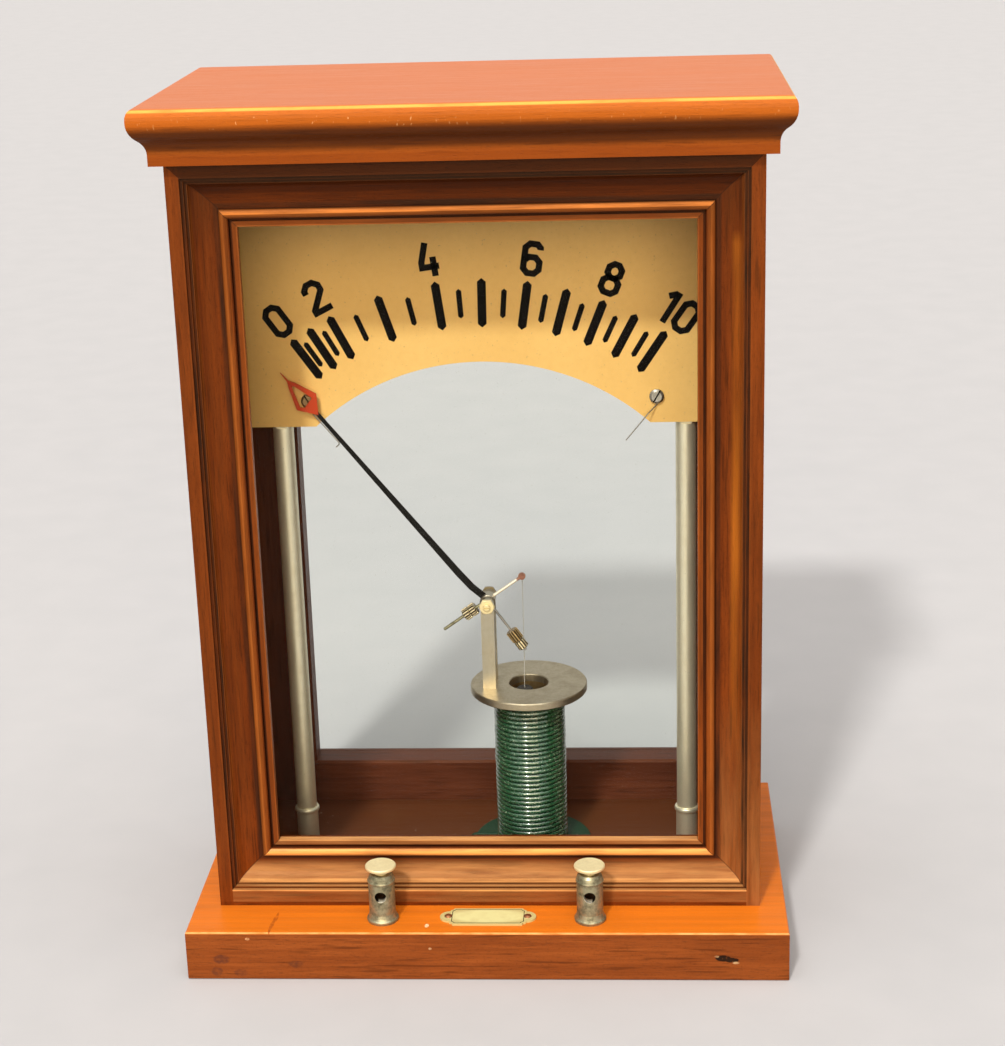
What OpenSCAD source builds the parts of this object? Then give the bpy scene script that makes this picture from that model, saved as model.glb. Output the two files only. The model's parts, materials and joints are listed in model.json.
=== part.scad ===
// Demonstration ammeter: a soft-iron plunger drawn into an upright coil turns
// a long pointer over a big dial, inside a glazed mahogany case.
// X runs across the front, Y from front to back, Z up.
// The origin is the bottom centre of the whole instrument.

/* [Base board] */
// Width of the base board
base_w = 240; // [228:1:300]
// Depth of the base board
base_d = 139; // [132:1:170]
// Thickness of the base board
base_h = 21; // [19:0.5:30]
// Ledge of the base in front of the case
ledge_d = 22.7; // [21:0.1:34]
// Ledge of the base at each side of the case
side_ledge = 10.5; // [6:0.1:16]
// Rounding of the worn board edges
edge_r = 0.8; // [0.4:0.1:1.5]

/* [Case] */
// Height of the case between base and cornice
case_h = 302.3; // [296:0.1:330]
// Thickness of the side panels
side_t = 8; // [6:0.5:9]
// Thickness of the front frame from front to back
front_frame_t = 14; // [13:0.5:16]
// Thickness of the rear frame from front to back
rear_frame_t = 17.6; // [14:0.1:20]
// Width of the rear frame's members
rear_member_w = 19; // [15:0.5:22]
// Thickness of both panes
glass_t = 2; // [1.5:0.1:2.4]
// Width of the rebate that holds a pane
rebate_w = 3; // [2.4:0.1:4]
// Clearance of a pane at its edges
glass_gap = 0.3; // [0.1:0.1:0.8]

/* [Front moulding] */
// Width of the flat outer strip
strip_w = 5.3; // [3:0.1:8]
// Width of each of the two small steps
step_w = 1.2; // [0.6:0.1:2]
// Depth of each of the two small steps
step_d = 1.1; // [0.5:0.1:1.5]
// Width of the cove
cove_w = 10; // [7:0.1:12]
// Depth of the cove
cove_d = 5.2; // [3:0.1:5.4]
// Width of the half-round bead
bead_w = 3.9; // [2.5:0.1:5]
// Width of the groove beside the bead
groove_w = 0.7; // [0.4:0.1:1.5]
// Width of the fillet at the sight edge
fillet_w = 2.2; // [1.5:0.1:4]
// Depth from the face to the sight edge
sight_d = 6.4; // [5.4:0.1:7]
// Depth from the face to the pane
pane_d = 9.5; // [8.6:0.1:10]
// Extra height of the bottom rail below its moulding
sill_h = 1.8; // [0.5:0.1:5]

/* [Cornice] */
// Height of the cornice board
cornice_h = 21.2; // [19:0.1:26]
// Overhang of its bottom fillet
fillet_out = 4.6; // [3:0.1:5]
// Height of its bottom fillet
fillet_h = 4.2; // [2:0.1:6]
// Greatest overhang of the cornice
crown_out = 10.5; // [8:0.1:13]
// Height of the widest point above its underside
crown_h = 16.2; // [14:0.1:17]
// Overhang where the flat top starts
top_out = 8; // [6:0.1:8]

/* [Dial and columns] */
// Distance of the coil axis and pivot from the front of the base
mech_y = 78; // [74:0.5:84]
// Height of the pivot above the base board
pivot_h = 111.5; // [108:0.5:124]
// Gap between the dial plate and each side panel
dial_gap = 4.5; // [2:0.1:8]
// Gap between the dial plate's upper edge and the cornice board
dial_head_gap = 7.3; // [5:0.1:14]
// Thickness of the dial plate
dial_t = 1.2; // [0.8:0.1:2]
// Distance from the pivot plane to the dial plate's face
dial_back = 2.4; // [2.2:0.1:3]
// Distance of each column's axis from the dial plate's end
column_inset = 15; // [12:0.5:17]
// Diameter of the columns
column_dia = 8.5; // [7:0.1:10]
// Height of a column's foot
column_foot_h = 12.6; // [8:0.1:18]
// Diameter of a column's foot
column_foot_dia = 9.2; // [8.8:0.1:11]
// Diameter of the ring on top of the foot
column_ring_dia = 10.6; // [10:0.1:13]
// Depth of the flat on a column that the dial plate seats on
column_flat = 0.65; // [0.4:0.05:1]
// Distance of the left stop screw inward from its column's axis
stop_inset = 11.8; // [10:0.1:14]
// Height of the left stop screw above the dial plate's lower edge
stop_rise = 11; // [9:0.1:13]
// Distance of the dial plate's arch inside the stop screws' circle
arch_margin = 10; // [8.5:0.1:12.8]
// Reach of the stop wires inward from their screws
stop_wire_reach = 21.3; // [16:0.1:27]
// Diameter of the stop wires
stop_wire_dia = 0.5; // [0.4:0.1:0.8]

/* [Coil] */
// Distance of the coil axis to the right of the pivot
coil_x = 16; // [14.5:0.5:17]
// Height of the coil above the base board
coil_h = 75; // [68:0.5:77]
// Diameter of the upper flange
flange_dia = 48.7; // [46:0.1:52]
// Diameter of the lower flange
foot_dia = 49.6; // [46:0.1:54]
// Thickness of both flanges
flange_t = 3.2; // [2.5:0.1:4]
// Diameter of the bore
bore_dia = 16.4; // [16:0.1:18]
// Wall of the brass tube under the winding
tube_wall = 1; // [0.6:0.1:2]
// Diameter over the winding
winding_dia = 30.2; // [26:0.1:32]
// Number of turns that show
winding_turns = 34; // [20:1:40]
// Diameter of the insulated leads
lead_dia = 1.6; // [1:0.1:2]

/* [Movement] */
// Clear width between the fork posts
fork_gap = 7.6; // [7.4:0.1:8.4]
// Thickness of a fork post from front to back
post_t = 3.4; // [3:0.1:4]
// Width of a fork post
post_w = 5.4; // [4.8:0.1:6]
// Diameter of the bearing screws
bearing_dia = 3; // [2.4:0.1:3.2]
// Diameter of the axle
axle_dia = 1.8; // [1.5:0.1:2]
// Diameter of the axle's journals
journal_dia = 1; // [0.8:0.1:1.2]
// Diameter of the hub
hub_dia = 6.4; // [6:0.1:7]
// Length of the hub
hub_len = 6.2; // [5.6:0.1:6.6]
// Pointer's angle to the left of upright at rest
rest_angle = 39.3; // [36:0.1:41]
// Pointer's swing to its right stop
swing = 78.6; // [70:0.2:80]
// Reach of the pointer's tip beyond the stop screws' circle
tip_reach = 16.2; // [9:0.1:19]
// Thickness of the pointer
pointer_t = 0.5; // [0.3:0.1:0.7]
// Width of the pointer's stem at the hub
stem_root_w = 2.9; // [2:0.1:3.2]
// Width of the pointer's stem at the arrow
stem_tip_w = 1.5; // [1:0.1:2]
// Width of the arrow across its shoulders
arrow_w = 10.6; // [8:0.1:12]
// Angle of the lifting arm above the horizontal at rest
arm_angle = 35.2; // [32:0.2:40]
// Distance from the pivot to the lifting arm's eye
arm_len = 17.4; // [16.5:0.1:18]
// Diameter of the lifting arm and balance rod
arm_dia = 1.3; // [1:0.1:1.5]
// Distance from the pivot to the end of the balance rod
balance_rod_len = 23; // [18:0.5:26]
// Diameter of the balance nuts
nut_dia = 5.4; // [4.6:0.1:5.6]
// Thickness of a balance nut
nut_t = 2.8; // [2:0.1:3]
// Distance from the pivot to the middle of the first balance nut
nut_place = 7.7; // [7.5:0.1:9]
// Angle of the tail rod from straight down at rest
tail_angle = 35; // [32:0.5:38]
// Distance from the pivot to the end of the tail rod
tail_len = 26.6; // [25:0.1:28]
// Diameter of the tail rod
tail_dia = 1; // [0.8:0.1:1.2]
// Diameter of the tail weight
weight_dia = 5.2; // [4:0.1:5.4]
// Length of the tail weight
weight_len = 5; // [4:0.1:6]
// Diameter of the tail lock nut
lock_dia = 4.7; // [4:0.1:5]
// Length of the tail lock nut
lock_len = 3.8; // [3:0.1:4]
// Distance from the pivot to the middle of the tail weight
weight_place = 18.7; // [17:0.1:19]

/* [Plunger] */
// Diameter of the soft-iron core
core_dia = 7; // [5:0.1:7.4]
// Length of the core
core_len = 34; // [28:0.5:42]
// Wall of the core
core_wall = 0.3; // [0.2:0.1:1.5]
// Depth of the core's top below the upper flange at rest
core_drop = 2.5; // [1:0.5:6]
// Diameter of the suspension wire
wire_dia = 0.3; // [0.2:0.1:0.6]

/* [Terminals] */
// Distance of each terminal from the middle
terminal_x = 41.6; // [36:0.1:60]
// Distance of the terminals from the front of the base
terminal_y = 11.5; // [10:0.5:12.5]
// Diameter of a terminal's foot
terminal_foot_dia = 12.7; // [11:0.1:15]
// Diameter of a terminal's body
terminal_dia = 10.5; // [9:0.1:11]
// Height of a terminal's body
terminal_h = 20.6; // [19:0.1:26]
// Height of the wire hole above the base board
wire_hole_h = 12.2; // [10:0.1:13]
// Diameter of the wire hole
wire_hole_dia = 4.4; // [3:0.1:5]
// Diameter of the thumbscrew's head
thumb_dia = 12.3; // [10:0.1:14]
// Thickness of the thumbscrew's head
thumb_t = 1.7; // [1.2:0.1:3]
// Diameter of the thumbscrew's shank
thumb_shank_dia = 4.9; // [4:0.1:5.5]
// Diameter of a terminal's stud
stud_dia = 4; // [3:0.1:5]
// Width of the unit plate with its ears
unit_plate_w = 38.6; // [32:0.1:44]
// Depth of the unit plate
unit_plate_d = 12.8; // [10:0.1:16]

/* [Hidden] */
$fn = 48;

// Clearances
fit_gap = 0.05;
seat_gap = 0.02;

// Places of the boards
overall_d = base_d + crown_out;
case_w = base_w - 2 * side_ledge;
front_y = -overall_d / 2;
back_y = front_y + base_d;
case_y = front_y + ledge_d;
frame_back_y = case_y + front_frame_t;
rear_frame_y = back_y - rear_frame_t;
case_z = base_h;
case_top_z = base_h + case_h;
mould_w = strip_w + 2 * step_w + cove_w + bead_w + groove_w + fillet_w;
open_x = case_w / 2 - mould_w;
open_low_z = case_z + sill_h + mould_w;
open_top_z = case_top_z - mould_w;
inner_x = case_w / 2 - side_t;
dial_w = 2 * (inner_x - dial_gap);
column_x = dial_w / 2 - column_inset;
dial_top_h = case_h - dial_head_gap;
stop_screw_r = round(100 * (column_x - stop_inset) / sin(rest_angle)) / 100;
dial_low_h = pivot_h + stop_screw_r * cos(rest_angle) - stop_rise;
arch_r = stop_screw_r - arch_margin;
stop_wire_end_r = stop_screw_r - stop_wire_reach;
pointer_len = stop_screw_r + tip_reach;
rear_open_x = inner_x - rear_member_w;
bead_t = front_frame_t - pane_d - glass_t;
rear_pane_d = 11.5;
rear_bead_t = rear_frame_t - rear_pane_d - glass_t;

// Places of the movement
pivot_y = front_y + mech_y;
pivot_z = base_h + pivot_h;
dial_y = pivot_y + dial_back;
column_y = dial_y + dial_t + column_dia / 2 - column_flat;
flange_z = base_h + coil_h;
pointer_y = pivot_y - 1;
arm_y = pivot_y + 1.2;
tail_y = pivot_y - 0.6;
eye_drop_y = 1.9;
eye_x = arm_len * cos(arm_angle);
eye_z = pivot_z + arm_len * sin(arm_angle);
core_top_z = flange_z - core_drop;
stop_angles = [rest_angle, swing - rest_angle];
stop_wire_gap = 0.4;
stop_side = stem_tip_w / 2 + stop_wire_gap + stop_wire_dia / 2;
column_top_z = base_h + dial_top_h - 2;
dial_screw_z = base_h + dial_top_h - 6;

// Stacks under the base board
pocket_h = 10;
pocket_dia = 16;
strap_t = 0.8;
strap_w = 4.2;
washer_t = 0.8;
washer_dia = 9;
nut_flats = 7;
nut_h = 3.2;
lead_hole_r = foot_dia / 2 + 1.8;
lead_angles = [180, 62];

// Points along an elliptical arc, from angle a0 to a1 in n steps
function arc(cx, cy, rx, ry, a0, a1, n) =
    [for (i = [0:n]) let (a = a0 + (a1 - a0) * i / n) [cx + rx * cos(a), cy + ry * sin(a)]];

// Outline of a board with eased edges
function eased(w, h, r) = concat(
    arc(w / 2 - r, r, r, r, -90, 0, 3), arc(w / 2 - r, h - r, r, r, 0, 90, 3),
    arc(-w / 2 + r, h - r, r, r, 90, 180, 3), arc(-w / 2 + r, r, r, r, 180, 270, 3));

// Half of the cornice's outline: overhang and height, from the underside up
cove_turn = 2 * atan((crown_out - fillet_out) / (crown_h - fillet_h));
cove_sum = (crown_h - fillet_h) / sin(cove_turn);
cove_r = 0.45 * cove_sum;
ovolo_r = cove_sum - cove_r;
nose_h = 1;
cornice_half = concat(
    [[fillet_out, 0]],
    arc(fillet_out + cove_r, fillet_h, cove_r, cove_r, 180, 180 - cove_turn, 6),
    arc(crown_out - ovolo_r, crown_h, ovolo_r, ovolo_r, -cove_turn + 6, 0, 6),
    arc(top_out, crown_h + nose_h, crown_out - top_out, cornice_h - crown_h - nose_h, 0, 90, 5));

// Whole outline of the cornice across a case of a given width
function cornice_outline(w) = concat(
    [for (p = cornice_half) [w / 2 + p[0], p[1]]],
    [for (i = [len(cornice_half) - 1:-1:0]) [-w / 2 - cornice_half[i][0], cornice_half[i][1]]]);

// Section of the front moulding: distance in from the outer edge, and depth from the face
cove_end = strip_w + 2 * step_w + cove_w;
cove_floor = 2 * step_d + cove_d;
bead_r = bead_w / 2;
function mould_section(extra) = concat(
    [[-extra, 0], [strip_w, 0], [strip_w, step_d], [strip_w + step_w, step_d],
     [strip_w + step_w, 2 * step_d]],
    arc(cove_end, 2 * step_d, cove_w, cove_d, 180, 90, 8),
    arc(cove_end + bead_r, cove_floor - 1, bead_r, bead_r, 180, 360, 8),
    [[cove_end + bead_w, cove_floor], [cove_end + bead_w + groove_w, cove_floor],
     [cove_end + bead_w + groove_w, sight_d], [mould_w, sight_d], [mould_w, pane_d],
     [mould_w - rebate_w, pane_d], [mould_w - rebate_w, front_frame_t], [-extra, front_frame_t]]);

// Section of the rear frame's members, with the rebate at the back
rear_chamfer = 1;
rear_section = [
    [0, 0], [rear_member_w - rear_chamfer, 0], [rear_member_w, rear_chamfer],
    [rear_member_w, rear_pane_d], [rear_member_w - rebate_w, rear_pane_d],
    [rear_member_w - rebate_w, rear_frame_t], [0, rear_frame_t]];

// Section of a glazing bead that fills a rebate behind its pane
function glazing_section(w, y0, t) =
    [[w - rebate_w, y0], [w - 0.8, y0], [w - 0.8, y0 + t * 0.4], [w - 1.6, y0 + t], [w - rebate_w, y0 + t]];

// An upright member: its outer edge is at x0, and dir says which way its width runs. The
// outer strip of width square runs through with square ends, and the rest is mitred.
module upright(x0, dir, y0, z0, z1, section, w, square = 0, extra = 0) {
    depth = max([for (p = section) p[1]]);
    intersection() {
        translate([0, y0, z0 - extra])
            linear_extrude(z1 - z0 + extra) polygon([for (p = section) [x0 + dir * p[0], p[1]]]);
        translate([0, y0 + depth + 1, 0]) rotate([90, 0, 0]) linear_extrude(depth + 2)
            polygon(concat(
                [[x0, z0 - extra], [x0, z1]],
                square > 0 ? [[x0 + dir * square, z1], [x0 + dir * square, z1 - square]] : [],
                [[x0 + dir * w, z1 - w], [x0 + dir * w, z0 + w]],
                square > 0 ? [[x0 + dir * square, z0 + square], [x0 + dir * square, z0 - extra]] : []));
    }
}

// A level member between two uprights: its outer edge is at z0, and dir says which way its
// width runs
module level(z0, dir, y0, x1, section, w, square = 0, extra = 0) {
    depth = max([for (p = section) p[1]]);
    intersection() {
        translate([-x1, y0, 0]) rotate([90, 0, 90])
            linear_extrude(2 * x1) polygon([for (p = section) [p[1], z0 + dir * p[0]]]);
        translate([0, y0 + depth + 1, 0]) rotate([90, 0, 0]) linear_extrude(depth + 2)
            polygon(concat(
                [[-x1 + square, z0 - dir * extra]],
                square > 0 ? [[-x1 + square, z0 + dir * square]] : [],
                [[-x1 + w, z0 + dir * w], [x1 - w, z0 + dir * w]],
                square > 0 ? [[x1 - square, z0 + dir * square]] : [],
                [[x1 - square, z0 - dir * extra]]));
    }
}

// A level rod along Y, from y0 to y1
module rod_y(x, z, r, y0, y1) {
    translate([x, y0, z]) rotate([-90, 0, 0]) cylinder(h = y1 - y0, r = r);
}

// Round wire through a list of points, with a slightly larger ball at each bend
module wire(points, r) {
    for (i = [0:len(points) - 2]) {
        a = points[i];
        b = points[i + 1];
        d = b - a;
        translate(a) rotate([0, acos(d[2] / norm(d)), atan2(d[1], d[0])])
            cylinder(h = norm(d), r = r, $fn = 16);
        if (i > 0) translate(a) sphere(r = r * 1.12, $fn = 16);
    }
}

// Puts its children in the pointer's own frame: local Z runs from the pivot along an
// angle from upright, clockwise seen from the front
module about_pivot(angle, y) {
    translate([0, y, pivot_z]) rotate([0, angle, 0]) children();
}

// Countersunk wood screw pointing up, with its head's flat at z0
module countersunk(x, y, z0, shank_r, length) {
    translate([x, y, z0]) {
        cylinder(h = shank_r, r1 = 2 * shank_r, r2 = shank_r);
        cylinder(h = length - shank_r, r = shank_r);
        translate([0, 0, length - shank_r]) cylinder(h = shank_r * 2, r1 = shank_r, r2 = shank_r / 8);
    }
}

// Hole for such a screw
module countersunk_hole(x, y, shank_r, length) {
    translate([x, y, -0.01]) cylinder(h = shank_r + sink + 0.01, r1 = 2 * shank_r + sink + 0.01, r2 = shank_r);
    translate([x, y, 0]) cylinder(h = length, r = shank_r + seat_gap);
}

// Depth of the screws' heads below the underside
sink = 0.4;

// Places of the case screws, in the side panels
case_screw_r = 1.7;
case_screw_len = 34;
case_screw_inset = 20;
case_screw_places = [for (s = [-1, 1], y = [frame_back_y + case_screw_inset, back_y - case_screw_inset])
    [s * (case_w / 2 - side_t / 2), y]];

// Places of the column screws
column_screw_r = 1.5;
column_screw_reach = 4.4;
column_screw_places = [for (s = [-1, 1]) [s * column_x, column_y]];

// Places of the coil's screws, through its lower flange
coil_screw_r = 1.4;
coil_screw_depth = 10;
coil_screw_head_r = 2.6;
coil_screw_head_h = 1.7;
coil_screw_places = [for (a = [90, 210, 330])
    [coil_x + (foot_dia / 2 - 4.6) * cos(a), pivot_y + (foot_dia / 2 - 4.6) * sin(a)]];

// Places of the leads' holes in the base board
lead_places = [for (a = lead_angles)
    [coil_x + lead_hole_r * cos(a), pivot_y + lead_hole_r * sin(a)]];
terminal_places = [for (s = [-1, 1]) [s * terminal_x, front_y + terminal_y]];

// Flat run between two places on the underside, as a plan outline
module run(a, b, w) {
    d = (b - a) / norm(b - a);
    n = [-d[1], d[0]] * w / 2;
    polygon([a + n, a - n, b - n, b + n]);
}

module base_board() {
    color([0.62, 0.27, 0.10])
    difference() {
        intersection() {
            translate([0, front_y + base_d, 0]) rotate([90, 0, 0])
                linear_extrude(base_d) polygon(eased(base_w, base_h, edge_r));
            translate([-base_w / 2, front_y + base_d / 2, 0]) rotate([90, 0, 90])
                linear_extrude(base_w) polygon(eased(base_d, base_h, edge_r));
        }
        for (i = [0, 1]) {
            translate([terminal_places[i][0], terminal_places[i][1], -1]) {
                cylinder(h = base_h + 2, r = stud_dia / 2 + seat_gap);
                cylinder(h = pocket_h + 1, r = pocket_dia / 2);
            }
            translate([lead_places[i][0], lead_places[i][1], -1]) {
                cylinder(h = base_h + 2, r = lead_dia / 2 + 0.3);
                cylinder(h = pocket_h + 1, r = strap_w / 2 + 1.4);
            }
            translate([0, 0, -1]) linear_extrude(pocket_h + 1)
                run(terminal_places[i], lead_places[i], strap_w + 2);
        }
        for (p = case_screw_places) countersunk_hole(p[0], p[1], case_screw_r, base_h + 1);
        for (p = column_screw_places) countersunk_hole(p[0], p[1], column_screw_r, base_h + 1);
        for (p = coil_screw_places) translate([p[0], p[1], base_h - coil_screw_depth - seat_gap])
            cylinder(h = coil_screw_depth + 1, r = coil_screw_r + seat_gap);
        for (s = [-1, 1])
            translate([unit_plate_x + s * unit_pin_x, unit_plate_y, base_h - unit_pin_depth - seat_gap])
                cylinder(h = unit_pin_depth + 1, r = unit_pin_r + seat_gap);
    }
}

module side_panel(s) {
    color([0.50, 0.19, 0.08])
    difference() {
        translate([s > 0 ? inner_x : -case_w / 2, frame_back_y, case_z])
            cube([side_t, back_y - frame_back_y, case_h]);
        for (p = case_screw_places) if (p[0] * s > 0)
            translate([p[0], p[1], case_z - 1])
                cylinder(h = case_screw_len - base_h + 1 + sink + seat_gap, r = case_screw_r + seat_gap);
    }
}

module side_panel_left() { side_panel(-1); }
module side_panel_right() { side_panel(1); }

module cornice_board() {
    case_d = back_y - case_y;
    color([0.66, 0.30, 0.16])
    translate([0, 0, case_top_z])
    intersection() {
        translate([0, back_y + 2 * crown_out, 0]) rotate([90, 0, 0])
            linear_extrude(case_d + 4 * crown_out) polygon(cornice_outline(case_w));
        translate([-case_w / 2 - 2 * crown_out, (case_y + back_y) / 2, 0]) rotate([90, 0, 90])
            linear_extrude(case_w + 4 * crown_out) polygon(cornice_outline(case_d));
    }
}

module front_stile(s) {
    color([0.47, 0.17, 0.07])
    upright(s * case_w / 2, -s, case_y, case_z + sill_h, case_top_z, mould_section(0), mould_w,
            strip_w, sill_h);
}

module front_stile_left() { front_stile(-1); }
module front_stile_right() { front_stile(1); }

module front_rail_top() {
    color([0.47, 0.17, 0.07])
    level(case_top_z, -1, case_y, case_w / 2, mould_section(0), mould_w, strip_w);
}

module front_rail_bottom() {
    color([0.52, 0.22, 0.09])
    level(case_z + sill_h, 1, case_y, case_w / 2, mould_section(sill_h), mould_w, strip_w, sill_h);
}

// A pane that fills a rebate
module pane(half_w, low_z, top_z, y) {
    reach = rebate_w - glass_gap;
    color([0.75, 0.85, 0.85, 0.3])
    translate([-half_w - reach, y, low_z - reach])
        cube([2 * (half_w + reach), glass_t, top_z - low_z + 2 * reach]);
}

module front_glass() { pane(open_x, open_low_z, open_top_z, case_y + pane_d); }

module rear_glass() {
    pane(rear_open_x, case_z + rear_member_w, case_top_z - rear_member_w, rear_frame_y + rear_pane_d);
}

// Four glazing beads round a pane
module glazing_beads(x1, low_z, top_z, w, y0, section) {
    color([0.42, 0.16, 0.07]) {
        for (s = [-1, 1]) upright(s * x1, -s, y0, low_z, top_z, section, w);
        level(low_z, 1, y0, x1, section, w);
        level(top_z, -1, y0, x1, section, w);
    }
}

module front_glazing_beads() {
    glazing_beads(case_w / 2, case_z + sill_h, case_top_z, mould_w, case_y,
                  glazing_section(mould_w, pane_d + glass_t, bead_t));
}

module rear_glazing_beads() {
    glazing_beads(inner_x, case_z, case_top_z, rear_member_w, rear_frame_y,
                  glazing_section(rear_member_w, rear_pane_d + glass_t, rear_bead_t));
}

module rear_stile(s) {
    color([0.45, 0.17, 0.08])
    upright(s * inner_x, -s, rear_frame_y, case_z, case_top_z, rear_section, rear_member_w);
}

module rear_stile_left() { rear_stile(-1); }
module rear_stile_right() { rear_stile(1); }

module rear_rail_top() {
    color([0.45, 0.17, 0.08])
    level(case_top_z, -1, rear_frame_y, inner_x, rear_section, rear_member_w);
}

module rear_rail_bottom() {
    color([0.45, 0.17, 0.08])
    level(case_z, 1, rear_frame_y, inner_x, rear_section, rear_member_w);
}

module case_screws() {
    color([0.55, 0.50, 0.42])
    for (p = case_screw_places)
        countersunk(p[0], p[1], sink, case_screw_r, case_screw_len - 2 * case_screw_r);
}

module dial_plate() {
    low_z = base_h + dial_low_h;
    top_z = base_h + dial_top_h;
    color([0.90, 0.83, 0.62])
    translate([0, dial_y + dial_t, 0]) rotate([90, 0, 0]) linear_extrude(dial_t)
    difference() {
        polygon([[-dial_w / 2, low_z], [dial_w / 2, low_z], [dial_w / 2, top_z], [-dial_w / 2, top_z]]);
        translate([0, pivot_z]) circle(r = arch_r, $fn = 96);
        for (s = [-1, 1]) {
            translate([0, pivot_z]) rotate(-s * stop_angles[max(s, 0)])
                translate([0, stop_screw_r]) circle(r = stop_screw_core_r + seat_gap);
            translate([s * column_x, dial_screw_z]) circle(r = dial_screw_r + seat_gap);
        }
    }
}

dial_screw_r = 1.2;
dial_screw_len = 6;
dial_screw_head_r = 2.6;
dial_screw_head_h = 1.4;
slot_w = 0.6;

// Pan-head screw pointing back, with the underside of its slotted head at y0
module face_screw(x, y0, z, shank_r, head_r, head_t, length, slot_angle) {
    translate([x, y0, z]) rotate([90, 0, 0]) {
        difference() {
            union() {
                cylinder(h = head_t * 0.55, r = head_r);
                translate([0, 0, head_t * 0.55]) cylinder(h = head_t * 0.45, r1 = head_r, r2 = head_r * 0.72);
            }
            rotate(slot_angle) translate([-head_r - 1, -slot_w / 2, head_t * 0.5])
                cube([2 * head_r + 2, slot_w, head_t]);
        }
        translate([0, 0, -length]) cylinder(h = length, r = shank_r);
    }
}

module dial_screws() {
    color([0.72, 0.70, 0.64])
    for (s = [-1, 1])
        face_screw(s * column_x, dial_y, dial_screw_z, dial_screw_r, dial_screw_head_r,
                   dial_screw_head_h, dial_screw_len, 35);
}

column_spigot_dia = 5;
column_spigot_h = 8;
column_ring_h = 2.2;

module column(s) {
    low_z = base_h + column_foot_h + column_ring_h;
    color([0.74, 0.74, 0.70])
    difference() {
        translate([s * column_x, column_y, 0]) {
            translate([0, 0, low_z]) cylinder(h = column_top_z - low_z, r = column_dia / 2);
            translate([0, 0, low_z - column_spigot_h])
                cylinder(h = column_spigot_h + 1, r = column_spigot_dia / 2);
        }
        translate([s * column_x - column_dia, column_y - column_dia / 2 - 1, base_h + dial_low_h - 1])
            cube([2 * column_dia, 1 + column_flat, dial_top_h]);
        rod_y(s * column_x, dial_screw_z, dial_screw_r + seat_gap, column_y - column_dia,
              dial_y + dial_screw_len + 0.2);
    }
}

module column_left() { column(-1); }
module column_right() { column(1); }

module column_foot(s) {
    color([0.70, 0.69, 0.64])
    translate([s * column_x, column_y, base_h])
    difference() {
        rotate_extrude() polygon(concat(
            [[0, 0], [column_foot_dia / 2, 0], [column_foot_dia / 2, column_foot_h]],
            arc(column_ring_dia / 2 - 0.6, column_foot_h + column_ring_h / 2, 0.6, column_ring_h / 2, -90, 90, 6),
            [[0, column_foot_h + column_ring_h]]));
        translate([0, 0, column_foot_h + column_ring_h - column_spigot_h - 0.3])
            cylinder(h = column_spigot_h + 1.3, r = column_spigot_dia / 2 + seat_gap);
        translate([0, 0, -1]) cylinder(h = column_screw_reach + 1 + seat_gap, r = column_screw_r + seat_gap);
    }
}

module column_foot_left() { column_foot(-1); }
module column_foot_right() { column_foot(1); }

module column_screws() {
    color([0.60, 0.58, 0.52])
    for (p = column_screw_places) translate([p[0], p[1], sink]) {
        cylinder(h = column_screw_r, r1 = 2 * column_screw_r, r2 = column_screw_r);
        cylinder(h = base_h + column_screw_reach - sink, r = column_screw_r);
    }
}

stop_screw_core_r = 1.3;
stop_head_r = 2.9;
stop_head_t = 1.3;
stop_screw_len = 5;
wire_washer_t = 0.6;

module stop_screws() {
    color([0.55, 0.52, 0.45])
    for (s = [-1, 1]) {
        x = s * stop_screw_r * sin(stop_angles[max(s, 0)]);
        z = pivot_z + stop_screw_r * cos(stop_angles[max(s, 0)]);
        face_screw(x, dial_y - wire_washer_t, z, stop_screw_core_r, stop_head_r, stop_head_t,
                   stop_screw_len, s * 60);
        rod_y(x, z, stop_head_r * 0.7, dial_y - wire_washer_t - 0.01, dial_y);
    }
}

// Spring-wire stop: from beside its screw, forward to the pointer's plane and in along the
// pointer's edge. A hook bends its end away from the pointer.
module stop_wire(s, hook) {
    r = stop_wire_dia / 2;
    bend = 1;
    y_screw = dial_y - r - 0.05 - pointer_y;
    screw_side = s * (stop_head_r * 0.7 + r);
    side = s * stop_side;
    end_r = stop_wire_end_r + (hook > 0 ? bend : 0);
    color([0.35, 0.33, 0.30])
    about_pivot(s * stop_angles[max(s, 0)], pointer_y) {
        wire([[screw_side, y_screw, stop_screw_r + 1.5], [screw_side, y_screw, stop_screw_r - 2.5],
              [side, 0, stop_screw_r - 7], [side, 0, end_r]], r);
        if (hook > 0) translate([side, 0, 0]) mirror([s < 0 ? 1 : 0, 0, 0]) {
            translate([bend, 0, end_r]) rotate([90, 180, 0])
                rotate_extrude(angle = 90) translate([bend, 0]) circle(r = r);
            translate([bend, 0, stop_wire_end_r]) rotate([0, 90, 0]) cylinder(h = hook - bend, r = r);
        }
    }
}

module stop_wire_left() { stop_wire(-1, 2.2); }
module stop_wire_right() { stop_wire(1, 0); }

module coil_tube() {
    color([0.72, 0.60, 0.35])
    translate([coil_x, pivot_y, base_h + flange_t])
    difference() {
        cylinder(h = coil_h - 2 * flange_t, r = bore_dia / 2 + tube_wall);
        translate([0, 0, -1]) cylinder(h = coil_h, r = bore_dia / 2);
    }
}

// Round flange with its bore and eased rims
module flange(dia, z, bore) {
    rim = 0.4;
    translate([coil_x, pivot_y, z]) rotate_extrude($fn = 96) polygon([
        [bore / 2, 0], [dia / 2 - rim, 0], [dia / 2, rim], [dia / 2, flange_t - rim],
        [dia / 2 - rim, flange_t], [bore / 2 + rim, flange_t], [bore / 2, flange_t - rim]]);
}

tenon_r = 1.5;
fork_y = fork_gap / 2 + post_t / 2;

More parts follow.
